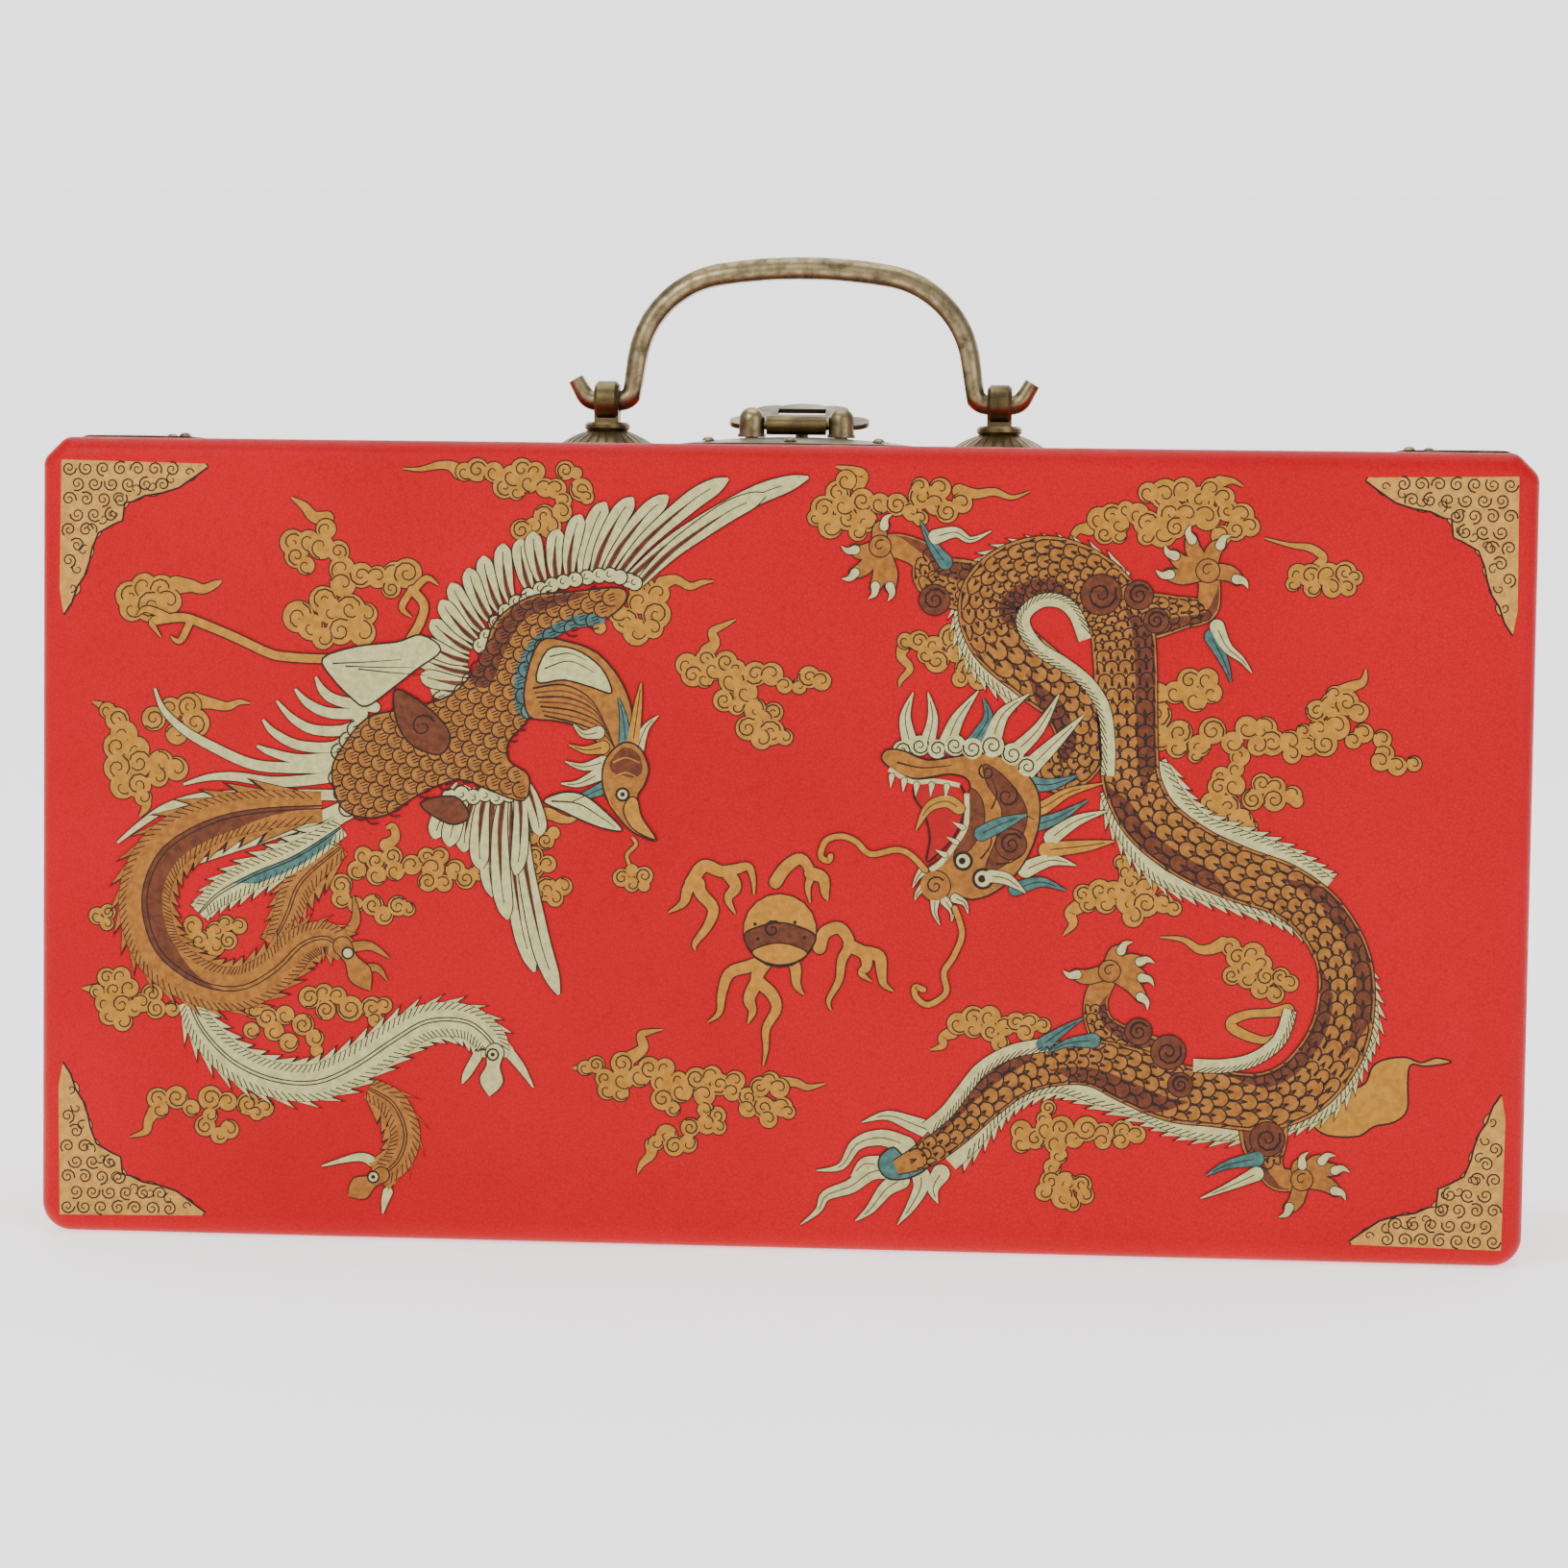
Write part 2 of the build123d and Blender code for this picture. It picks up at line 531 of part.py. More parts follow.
def make_base():
    wood = base_wood()
    recess = span_box((-INSIDE_END, INSIDE_END), (-1, DECK_NEAR), (BAY_LOW, BAY_HIGH))
    lower_bay = (BAY_LOW, BAY_MIDDLE - DIVIDER / 2)
    upper_bay = (BAY_MIDDLE + DIVIDER / 2, BAY_HIGH)
    bolt_holes = top_holes(EYE_PLACES, EYE_SHANK + SHANK_PLAY, BASE_FRONT_WALL + LEATHER + 2)
    knob_hole = top_holes([(0, TURN_DEPTH)], TURN_NECK + RUNNING_GAP, NAIL_LENGTH)
    with BuildPart() as leather:
        add(case_block(HALF_GAP, BASE_FACE, 0.0, RIM_ROUND, FACE_ROUND))
        add(wood, mode=Mode.SUBTRACT)
        add(recess, mode=Mode.SUBTRACT)
        for bay in (lower_bay, upper_bay):
            add(span_box((-FAR, FAR), (DECK_FAR, BASE_FLOOR), bay), mode=Mode.SUBTRACT)
        for cutter in (HINGE_POCKETS, NAIL_CUTTER, bolt_holes, knob_hole):
            add(cutter, mode=Mode.SUBTRACT)
    save_leather(leather.part, BASE_INSET, "base")

    with BuildPart() as panel:
        add(wood)
        add(span_box((-FAR, FAR), (BASE_FLOOR, BASE_FACE), (-FAR, FAR)), mode=Mode.INTERSECT)
    save(panel.part, "base_panel")

    with BuildPart() as front_board:
        add(wood)
        add(span_box((-FAR, FAR), (0, BASE_FLOOR), (BAY_HIGH, FAR)), mode=Mode.INTERSECT)
        for cutter in (NAIL_CUTTER, bolt_holes, knob_hole):
            add(cutter, mode=Mode.SUBTRACT)
        with Locations(*[(x, y, BAY_HIGH) for x, y in EYE_PLACES]):
            Cylinder(COUNTERBORE_RADIUS, 2 * COUNTERBORE, mode=Mode.SUBTRACT)
    save(front_board.part, "base_front_board")

    with BuildPart() as back_board:
        add(wood)
        add(span_box((-FAR, FAR), (0, BASE_FLOOR), (-FAR, BAY_LOW)), mode=Mode.INTERSECT)
        add(HINGE_POCKETS, mode=Mode.SUBTRACT)
        add(NAIL_CUTTER, mode=Mode.SUBTRACT)
    save(back_board.part, "base_back_board")

    with BuildPart() as rails:
        add(wood)
        add(span_box((-FAR, FAR), (0, DECK_FAR), (BAY_LOW, BAY_HIGH)), mode=Mode.INTERSECT)
        add(span_box((-INSIDE_END, INSIDE_END), (-1, FAR), (0, FAR)), mode=Mode.SUBTRACT)
    save(rails.part, "base_end_rails")

    save(span_box((-INSIDE_END, INSIDE_END), (DECK_NEAR, DECK_FAR), (BAY_LOW, BAY_HIGH)), "deck")
    with BuildPart() as lining:
        add(span_box((-INSIDE_END, INSIDE_END), (DECK_NEAR - LINING, DECK_NEAR), (BAY_LOW, BAY_HIGH)))
    save(lining.part, "deck_lining")
    save(span_box((-WOOD_END, WOOD_END), (DECK_FAR, BASE_FLOOR), (lower_bay[1], upper_bay[0])),
         "drawer_divider")
    stops = [span_box((-STOP / 2, STOP / 2), (DECK_FAR, BASE_FLOOR), bay) for bay in (lower_bay, upper_bay)]
    save(Compound(children=stops), "drawer_stops")

    for side, side_name in ((-1, "left"), (1, "right")):
        for bay, bay_name in ((lower_bay, "back"), (upper_bay, "front")):
            make_drawer(side, bay, f"{bay_name}_{side_name}_drawer")


def make_drawer(side, bay, name):
    """One drawer: a leather-covered face, a three-sided box, its floor and its knob."""
    face_out = CASE_LENGTH / 2
    face_in = face_out - FACE_BOARD
    back = STOP / 2 + DRAWER_STOP_GAP
    middle_y = (DECK_FAR + BASE_FLOOR) / 2
    middle_z = (bay[0] + bay[1]) / 2
    knob_plane = Plane((side * face_out, middle_y, middle_z), z_dir=(side, 0, 0))

    with BuildPart() as face:
        add(span_box(sorted((side * face_in, side * face_out)),
                     (DECK_FAR + FACE_GAP, BASE_FLOOR - FACE_GAP), (bay[0] + FACE_GAP, bay[1] - FACE_GAP)))
        fillet(face.faces().sort_by(Axis.X)[-1 if side > 0 else 0].edges(), FACE_EDGE)
        with BuildSketch(knob_plane.offset(-FACE_BOARD)):
            Circle(KNOB_SHANK + WOOD_FIT)
        extrude(amount=FACE_BOARD, mode=Mode.SUBTRACT)
    save(face.part, f"{name}_face")

    low_y = DECK_FAR + DRAWER_GAP
    high_y = BASE_FLOOR - DRAWER_GAP
    low_z = bay[0] + DRAWER_GAP
    high_z = bay[1] - DRAWER_GAP
    with BuildPart() as box:
        add(span_box(sorted((side * back, side * face_in)), (low_y, high_y), (low_z, high_z)))
        inside = sorted((side * (back + DRAWER_WALL), side * face_out))
        add(span_box(inside, (0, FAR), (low_z + DRAWER_WALL, high_z - DRAWER_WALL)), mode=Mode.SUBTRACT)
    save(box.part, f"{name}_box")

    inside = sorted((side * (back + DRAWER_WALL), side * face_in))
    save(span_box(inside, (high_y - DRAWER_FLOOR, high_y), (low_z + DRAWER_WALL, high_z - DRAWER_WALL)),
         f"{name}_floor")

    with BuildPart() as knob:
        with BuildSketch(knob_plane.offset(-FACE_BOARD + WOOD_FIT)):
            Circle(KNOB_SHANK)
        extrude(amount=FACE_BOARD)
        with BuildSketch(knob_plane):
            Circle(KNOB_NECK)
        extrude(amount=KNOB_REACH / 2)
        with BuildSketch(knob_plane.offset(KNOB_REACH / 2)):
            Circle(KNOB_RADIUS)
        extrude(amount=KNOB_REACH / 2)
        chamfer(knob.faces().sort_by(Axis.X)[-1 if side > 0 else 0].edges(), KNOB_REACH * 0.3, KNOB_REACH * 0.45)
    save(knob.part, f"{name}_knob")


def make_tray():
    """The open tray for racks, dice and counters that is glued down on the deck."""
    end = INSIDE_END - TRAY_SIDE_GAP
    low = BAY_LOW + TRAY_SIDE_GAP
    near = -TRAY_RISE
    far = DECK_NEAR - LINING
    swing = TOP - LID_INSET - LINING - HINGE_AXIS_ABOVE - TRAY_SWING_GAP
    high = min(HINGE_AXIS_ABOVE + sqrt(swing**2 - TRAY_RISE**2), BAY_HIGH - TRAY_SIDE_GAP)
    floor_near = far - TRAY_FLOOR
    with BuildPart() as walls:
        add(span_box((-end, end), (near, far), (low, high)))
        add(span_box((TRAY_WALL - end, end - TRAY_WALL), (near - 1, far + 1),
                     (low + TRAY_WALL, high - TRAY_WALL)), mode=Mode.SUBTRACT)
    save(walls.part, "tray_walls")
    inside = (low + TRAY_WALL, high - TRAY_WALL)
    save(span_box((TRAY_WALL - end, end - TRAY_WALL), (floor_near, far), inside), "tray_floor")
    cup = end - TRAY_WALL - TRAY_CUP_LENGTH
    dividers = [
        span_box((cup - TRAY_WALL, cup), (near, floor_near), inside),
        span_box((cup, end - TRAY_WALL), (near, floor_near),
                 ((low + high - TRAY_WALL) / 2, (low + high + TRAY_WALL) / 2)),
    ]
    with BuildPart() as divider:
        for board in dividers:
            add(board)
    save(divider.part, "tray_divider")


# ================================================================ the handle


def flute():
    """The round cutter of one flute, lying along a rosette's slope."""
    run = ROSETTE_RADIUS - ROSETTE_TOP_RADIUS
    slope = ROSETTE_RISE / run
    with BuildPart() as cutter:
        start = Vector(ROSETTE_TOP_RADIUS + run * 0.12, 0, ROSETTE_RISE * (1 - 0.12) + ROSETTE_RISE * 0.13)
        away = Vector(1, 0, -slope)
        with BuildSketch(Plane(start, z_dir=away)):
            Circle(FLUTE_RADIUS)
        extrude(amount=run * 1.3)
    return cutter.part


def rosette():
    """A fluted dome that the eye bolt pulls down on the leather, made at the origin."""
    cutter = flute()
    with BuildPart() as dome:
        with BuildSketch(Plane.XZ):
            with BuildLine():
                outer = (ROSETTE_RADIUS, 0)
                belly = ((ROSETTE_RADIUS + ROSETTE_TOP_RADIUS) / 2, ROSETTE_RISE * 0.6)
                crown = (ROSETTE_TOP_RADIUS, ROSETTE_RISE)
                ThreePointArc(outer, belly, crown)
                Line(crown, (EYE_SHANK + SHANK_PLAY, ROSETTE_RISE))
                Line((EYE_SHANK + SHANK_PLAY, ROSETTE_RISE), (EYE_SHANK + SHANK_PLAY, 0))
                Line((EYE_SHANK + SHANK_PLAY, 0), outer)
            make_face()
        revolve(axis=Axis.Z)
        for n in range(FLUTES):
            add(cutter.rotate(Axis.Z, n * 360 / FLUTES), mode=Mode.SUBTRACT)
    return dome.part


def make_eye(x, name):
    """An eye bolt: collar, neck, strap eye with bevelled rims, and the threaded shank."""
    hole = BAIL_JOURNAL_RADIUS + EYE_PLAY
    collar_low = TOP + ROSETTE_RISE
    with BuildPart() as eye:
        with BuildSketch(Plane((x, HANDLE_DEPTH, collar_low))):
            Circle(COLLAR_RADIUS)
        extrude(amount=COLLAR)
        chamfer(eye.edges(), COLLAR * 0.3)
        with BuildSketch(Plane((x, HANDLE_DEPTH, collar_low + COLLAR / 2))):
            Rectangle(EYE_WIDTH, EYE_NECK)
        extrude(amount=AXIS_ABOVE - ROSETTE_RISE - COLLAR / 2 - hole)
        with BuildSketch(Plane((x, HANDLE_DEPTH, HANDLE_AXIS), z_dir=(1, 0, 0)).offset(-EYE_WIDTH / 2)):
            Circle(EYE_RADIUS)
        extrude(amount=EYE_WIDTH)
        chamfer(eye.edges().filter_by(GeomType.CIRCLE).group_by(Axis.Z)[-1], EYE_WIDTH * 0.14)
        with Locations(Location((x, HANDLE_DEPTH, HANDLE_AXIS), (0, 90, 0))):
            Cylinder(hole, 2 * EYE_WIDTH, mode=Mode.SUBTRACT)
        shank_low = BAY_HIGH + COUNTERBORE - WASHER - NUT - SHANK_PLAY
        with BuildSketch(Plane((x, HANDLE_DEPTH, shank_low))):
            Circle(EYE_SHANK)
        extrude(amount=collar_low + COLLAR / 2 - shank_low)
    save(eye.part, name)


def bail_outline(leg_shift, crown_shift):
    """The corners of the bail's centreline, or of a line inside it by the two shifts."""
    x = EYE_SPACING / 2
    return [
        (BAIL_LEG_IN + leg_shift - x, HANDLE_AXIS),
        (BAIL_SHOULDER_IN + leg_shift - x, HANDLE_AXIS + BAIL_SHOULDER_RISE - crown_shift),
        (0, HANDLE_AXIS + BAIL_RISE - crown_shift),
        (x - BAIL_SHOULDER_IN - leg_shift, HANDLE_AXIS + BAIL_SHOULDER_RISE - crown_shift),
        (x - BAIL_LEG_IN - leg_shift, HANDLE_AXIS),
    ]


def make_bail():
    """The tapering handle: horned ends through both eyes, and a grip with a flat underside."""
    x = EYE_SPACING / 2
    flat_leg = BAIL_LEG_RADIUS * 0.72
    flat_crown = BAIL_GRIP_RADIUS * 0.6
    corners = [
        (-x - HORN_OUT - HORN_BEND_OUT, HANDLE_AXIS + HORN_RISE),
        (-x - HORN_OUT, HANDLE_AXIS),
        *bail_outline(0, 0),
        (x + HORN_OUT, HANDLE_AXIS),
        (x + HORN_OUT + HORN_BEND_OUT, HANDLE_AXIS + HORN_RISE),
    ]
    bends = [HORN_BEND, BAIL_LEG_BEND, BAIL_SHOULDER_BEND, BAIL_CROWN_BEND,
             BAIL_SHOULDER_BEND, BAIL_LEG_BEND, HORN_BEND]
    with BuildLine(Plane.XZ.offset(-HANDLE_DEPTH)) as route:
        FilletPolyline(*corners, radius=bends)
    edges = route.wires()[0].order_edges()
    whole = sum(edge.length for edge in edges)
    passed = 0.0
    with BuildPart() as bail:
        for edge in edges:
            with BuildSketch(edge ^ 0):
                Circle(bail_radius(passed, whole))
            passed += edge.length
            with BuildSketch(edge ^ 1):
                Circle(bail_radius(passed, whole))
            sweep(path=edge, multisection=True)
        with BuildSketch(Plane.XZ.offset(-HANDLE_DEPTH)):
            with BuildLine():
                edge = FilletPolyline(
                    *bail_outline(flat_leg, flat_crown),
                    radius=[BAIL_SHOULDER_BEND - flat_crown, BAIL_CROWN_BEND, BAIL_SHOULDER_BEND - flat_crown],
                )
                Line(edge @ 1, edge @ 0)
            make_face()
        extrude(amount=BAIL_GRIP_RADIUS * 2, both=True, mode=Mode.SUBTRACT)
    save(bail.part, "bail")


def bail_radius(passed, whole):
    """The radius of the bail's section at a distance along it from one tip."""
    horn = sqrt(HORN_BEND_OUT**2 + HORN_RISE**2)
    eye = horn + HORN_OUT
    stations = [
        (0.0, BAIL_TIP_RADIUS),
        (eye - EYE_WIDTH / 2, BAIL_JOURNAL_RADIUS),
        (eye + EYE_WIDTH / 2, BAIL_JOURNAL_RADIUS),
        (eye + BAIL_LEG_IN + BAIL_LEG_BEND, BAIL_LEG_RADIUS),
        (whole / 2, BAIL_GRIP_RADIUS),
    ]
    place = min(passed, whole - passed)
    for (low, low_radius), (high, high_radius) in zip(stations, stations[1:]):
        if place <= high:
            return low_radius + (high_radius - low_radius) * (place - low) / (high - low)
    return BAIL_GRIP_RADIUS


def make_handle():
    dome = rosette()
    for side, (x, _) in zip(("left", "right"), EYE_PLACES):
        save(dome.translate((x, HANDLE_DEPTH, TOP)), f"rosette_{side}")
        make_eye(x, f"handle_eye_{side}")
    washer_high = BAY_HIGH + COUNTERBORE
    with BuildPart() as washers:
        with Locations(*[(x, y, washer_high - WASHER / 2) for x, y in EYE_PLACES]):
            Cylinder(WASHER_RADIUS, WASHER)
            Cylinder(EYE_SHANK + SHANK_PLAY, WASHER, mode=Mode.SUBTRACT)
    save(washers.part, "handle_washers")
    with BuildPart() as nuts:
        with BuildSketch(Plane.XY.offset(washer_high - WASHER - NUT)):
            with Locations(*EYE_PLACES):
                RegularPolygon(NUT_RADIUS, 6)
                Circle(EYE_SHANK + WOOD_FIT, mode=Mode.SUBTRACT)
        extrude(amount=NUT)
    save(nuts.part, "handle_nuts")
    make_bail()


# ================================================================ the hinges


def hinge_leaf(middle, y_side):
    """One leaf with its share of the knuckles: the base has the outer two and the lid the middle one."""
    half = HINGE_LENGTH / 2
    inner = HINGE_MIDDLE_KNUCKLE / 2
    if y_side < 0:
        knuckles = [(middle - inner, middle + inner)]
    else:
        outer = inner + HINGE_KNUCKLE_GAP
        knuckles = [(middle - half, middle - outer), (middle + outer, middle + half)]
    z = (HINGE_SET_IN, HINGE_SET_IN + HINGE_LEAF)
    with BuildPart() as leaf:
        plate = sorted((y_side * HINGE_LEAF_START, y_side * HINGE_LEAF_WIDTH))
        add(span_box((middle - half, middle + half), plate, z))
        for low, high in knuckles:
            add(span_box((low, high), sorted((0, y_side * (HINGE_LEAF_START + 1))), z))
            with Locations(Location(((low + high) / 2, 0, HINGE_AXIS_ABOVE), (0, 90, 0))):
                Cylinder(HINGE_BARREL, high - low)
        with Locations(Location((middle, 0, HINGE_AXIS_ABOVE), (0, 90, 0))):
            Cylinder(HINGE_PIN + RUNNING_GAP, 2 * HINGE_LENGTH, mode=Mode.SUBTRACT)
        for x in (middle - HINGE_SCREW_SPACING / 2, middle + HINGE_SCREW_SPACING / 2):
            with BuildSketch(Plane((x, y_side * HINGE_SCREW_DEPTH, 0))):
                Circle(SCREW_SHANK + WOOD_FIT)
            extrude(amount=2, mode=Mode.SUBTRACT)
            with BuildPart(mode=Mode.PRIVATE) as sink:
                with Locations((x, y_side * HINGE_SCREW_DEPTH, HINGE_SET_IN)):
                    Cone(SCREW_HEAD + WOOD_FIT, SCREW_SHANK, HINGE_LEAF,
                         align=(Align.CENTER, Align.CENTER, Align.MIN))
            add(sink.part, mode=Mode.SUBTRACT)
    return leaf.part


def make_hinges():
    save(Compound(children=[hinge_leaf(middle, -1) for middle in HINGE_PLACES]), "hinge_lid_leaves")
    save(Compound(children=[hinge_leaf(middle, 1) for middle in HINGE_PLACES]), "hinge_base_leaves")
    with BuildPart() as pins:
        with Locations(*[Location((middle, 0, HINGE_AXIS_ABOVE), (0, 90, 0)) for middle in HINGE_PLACES]):
            Cylinder(HINGE_PIN, HINGE_LENGTH)
    save(pins.part, "hinge_pins")
    for y_side, name in ((-1, "hinge_lid_screws"), (1, "hinge_base_screws")):
        with BuildPart() as screws:
            for x in HINGE_SCREW_XS:
                with Locations((x, y_side * HINGE_SCREW_DEPTH, HINGE_SET_IN)):
                    Cone(SCREW_HEAD, SCREW_SHANK, HINGE_LEAF, align=(Align.CENTER, Align.CENTER, Align.MIN))
                    Cylinder(SCREW_SHANK, SCREW_LENGTH, align=(Align.CENTER, Align.CENTER, Align.MIN))
        save(screws.part, name)


make_lid()
make_brackets()
make_clasp()
make_base()
make_tray()
make_handle()
make_hinges()
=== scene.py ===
"""Mahjong case with drawers: red leatherette, aged brass fittings, and a printed dragon and phoenix."""
import json
from math import atan2, cos, pi, radians, sin, sqrt

import bmesh
import bpy
from mathutils import Matrix, Vector


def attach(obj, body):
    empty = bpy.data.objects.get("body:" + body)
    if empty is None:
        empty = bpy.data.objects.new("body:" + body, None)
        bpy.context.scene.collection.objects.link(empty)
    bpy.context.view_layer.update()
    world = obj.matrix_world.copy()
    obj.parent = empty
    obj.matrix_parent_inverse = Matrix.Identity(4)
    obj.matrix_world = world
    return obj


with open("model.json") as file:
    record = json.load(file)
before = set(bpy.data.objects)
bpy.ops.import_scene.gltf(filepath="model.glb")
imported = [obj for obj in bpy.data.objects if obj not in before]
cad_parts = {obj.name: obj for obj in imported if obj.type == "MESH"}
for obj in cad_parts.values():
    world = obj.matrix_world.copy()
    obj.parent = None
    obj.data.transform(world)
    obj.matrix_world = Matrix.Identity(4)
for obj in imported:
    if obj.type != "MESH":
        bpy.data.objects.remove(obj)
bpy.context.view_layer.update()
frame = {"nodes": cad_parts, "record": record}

MM = 0.001

# ---------------------------------------------------------------- camera, floor and light

CAMERA_TURN = (3.48, 4.10, 0.75)
CAMERA_OFFSET = (-1.6, 13.2, 809.8)
LENS = 92.8
LID_FACE = -48.0
MIDDLE_HEIGHT = 81.0

CASE_MIDDLE = (0, 0, 0.08)
FLOOR_HALF = 3.0
FLOOR_DROP = 0.0002
FLOOR_END = 1.2
SWEEP_ROUND = 0.8
SWEEP_STEPS = (4, 12, 22, 34, 46, 58, 70, 82, 90)
WALL_HEIGHT = 2.0
SKY_STRENGTH = 0.5


def place_camera():
    """Sets the camera so that the lid's face appears as it was photographed."""
    pitch, yaw, roll = (radians(a) for a in CAMERA_TURN)
    turn = Matrix.Rotation(roll, 3, "Z") @ Matrix.Rotation(pitch, 3, "X") @ Matrix.Rotation(yaw, 3, "Y")
    eye = -(turn.transposed() @ Vector(CAMERA_OFFSET))
    to_world = Matrix(((1, 0, 0), (0, 0, 1), (0, -1, 0)))
    right = to_world @ turn.row[0].copy()
    down = to_world @ turn.row[1].copy()
    ahead = to_world @ turn.row[2].copy()
    camera = bpy.data.objects.new("camera", bpy.data.cameras.new("camera"))
    bpy.context.collection.objects.link(camera)
    camera.data.lens = LENS
    camera.data.sensor_width = 36.0
    place = (to_world @ eye) + Vector((0, LID_FACE, MIDDLE_HEIGHT))
    basis = Matrix((right, -down, -ahead)).transposed().to_4x4()
    camera.matrix_world = Matrix.Translation(place * MM) @ basis
    bpy.context.scene.camera = camera


def softbox(name, place, width, power):
    """A square soft light of the given width, turned towards the middle of the case."""
    light = bpy.data.lights.new(name, "AREA")
    light.shape = "SQUARE"
    light.size = width
    light.energy = power
    lamp = bpy.data.objects.new(name, light)
    bpy.context.collection.objects.link(lamp)
    lamp.location = place
    lamp.rotation_euler = (Vector(CASE_MIDDLE) - Vector(place)).to_track_quat("-Z", "Y").to_euler()


def stage():
    """The pale floor that sweeps up behind, the sky light and the lamps."""
    mesh = bpy.data.meshes.new("floor")
    sweep = bmesh.new()
    bmesh.ops.create_grid(sweep, x_segments=1, y_segments=1, size=FLOOR_HALF)
    bmesh.ops.translate(sweep, vec=(0, FLOOR_END - FLOOR_HALF, -FLOOR_DROP), verts=sweep.verts)
    far_edge = max(sweep.edges, key=lambda edge: sum(v.co.y for v in edge.verts))
    ridge = [far_edge]
    for rise in SWEEP_STEPS:
        made = bmesh.ops.extrude_edge_only(sweep, edges=ridge)["geom"]
        ridge = [part for part in made if isinstance(part, bmesh.types.BMEdge)]
        for part in made:
            if isinstance(part, bmesh.types.BMVert):
                part.co.y = FLOOR_END + SWEEP_ROUND * sin(radians(rise))
                part.co.z = SWEEP_ROUND * (1 - cos(radians(rise))) - FLOOR_DROP
    made = bmesh.ops.extrude_edge_only(sweep, edges=ridge)["geom"]
    top = [part for part in made if isinstance(part, bmesh.types.BMVert)]
    bmesh.ops.translate(sweep, vec=(0, 0, WALL_HEIGHT), verts=top)
    sweep.to_mesh(mesh)
    sweep.free()
    floor = bpy.data.objects.new("floor", mesh)
    bpy.context.collection.objects.link(floor)
    floor.data.materials.append(paper())
    world = bpy.data.worlds.new("studio")
    bpy.context.scene.world = world
    world.use_nodes = True
    world.node_tree.nodes["Background"].inputs["Color"].default_value = (1, 1, 1, 1)
    world.node_tree.nodes["Background"].inputs["Strength"].default_value = SKY_STRENGTH
    softbox("key", (-0.8, -1.5, 1.1), 1.0, 20)
    softbox("fill", (1.2, -1.4, 0.6), 1.2, 8)
    softbox("top", (0.0, 0.15, 1.4), 1.2, 12)


# ---------------------------------------------------------------- materials


class Finish:
    """A material under construction, with short ways to add its nodes."""

    def __init__(self, name, rough=0.5, metal=0.0, specular=0.5):
        self.material = bpy.data.materials.new(name)
        self.material.use_nodes = True
        self.tree = self.material.node_tree
        self.shader = self.tree.nodes["Principled BSDF"]
        self.shader.inputs["Roughness"].default_value = rough
        self.shader.inputs["Metallic"].default_value = metal
        self.shader.inputs["Specular IOR Level"].default_value = specular
        self.place = self.add("ShaderNodeTexCoord").outputs["Object"]

    def add(self, kind, **settings):
        node = self.tree.nodes.new(kind)
        for name, value in settings.items():
            setattr(node, name, value)
        return node

    def link(self, output, socket):
        self.tree.links.new(output, socket)

    def noise(self, scale, detail=3.0, stretch=None, rough=0.55):
        node = self.add("ShaderNodeTexNoise")
        node.inputs["Scale"].default_value = scale
        node.inputs["Detail"].default_value = detail
        node.inputs["Roughness"].default_value = rough
        self.link(self.stretched(stretch), node.inputs["Vector"])
        return node.outputs["Fac"]

    def cell_edges(self, scale):
        node = self.add("ShaderNodeTexVoronoi", feature="DISTANCE_TO_EDGE")
        node.inputs["Scale"].default_value = scale
        self.link(self.place, node.inputs["Vector"])
        return node.outputs["Distance"]

    def stretched(self, stretch):
        if not stretch:
            return self.place
        node = self.add("ShaderNodeMapping")
        node.inputs["Scale"].default_value = stretch
        self.link(self.place, node.inputs["Vector"])
        return node.outputs["Vector"]

    def ramp(self, value, stops):
        node = self.add("ShaderNodeValToRGB")
        marks = node.color_ramp.elements
        while len(marks) < len(stops):
            marks.new(0.5)
        for mark, (place, colour) in zip(marks, stops):
            mark.position = place
            mark.color = colour if len(colour) == 4 else (*colour, 1)
        self.link(value, node.inputs["Fac"])
        return node.outputs["Color"]

    def levels(self, value, low, high, out_low=0.0, out_high=1.0):
        node = self.add("ShaderNodeMapRange")
        for socket, amount in zip(("From Min", "From Max", "To Min", "To Max"), (low, high, out_low, out_high)):
            node.inputs[socket].default_value = amount
        self.link(value, node.inputs["Value"])
        return node.outputs["Result"]

    def mix(self, share, low, high):
        node = self.add("ShaderNodeMix", data_type="RGBA")
        for socket, value in (("Factor", share), ("A", low), ("B", high)):
            ends = [s for s in node.inputs if s.name == socket and s.enabled]
            if isinstance(value, (int, float)):
                ends[0].default_value = value
            elif isinstance(value, tuple):
                ends[0].default_value = (*value, 1)
            else:
                self.link(value, ends[0])
        return [s for s in node.outputs if s.enabled][0]

    def bump(self, height, distance, strength=1.0, under=None):
        node = self.add("ShaderNodeBump")
        node.inputs["Distance"].default_value = distance * MM
        node.inputs["Strength"].default_value = strength
        self.link(height, node.inputs["Height"])
        if under is not None:
            self.link(under, node.inputs["Normal"])
        return node.outputs["Normal"]

    def finish(self, colour=None, rough=None, normal=None):
        for socket, value in (("Base Color", colour), ("Roughness", rough), ("Normal", normal)):
            if isinstance(value, tuple):
                self.shader.inputs[socket].default_value = (*value, 1)
            elif value is not None:
                self.link(value, self.shader.inputs[socket])
        return self.material


def paper():
    sheet = Finish("pale_floor", rough=0.9, specular=0.2)
    sheet.shader.inputs["Emission Color"].default_value = (1, 1, 1, 1)
    sheet.shader.inputs["Emission Strength"].default_value = 1.1
    tone = sheet.ramp(sheet.noise(9.0), [(0.3, (0.92, 0.92, 0.915)), (0.7, (0.95, 0.95, 0.95))])
    return sheet.finish(colour=tone)


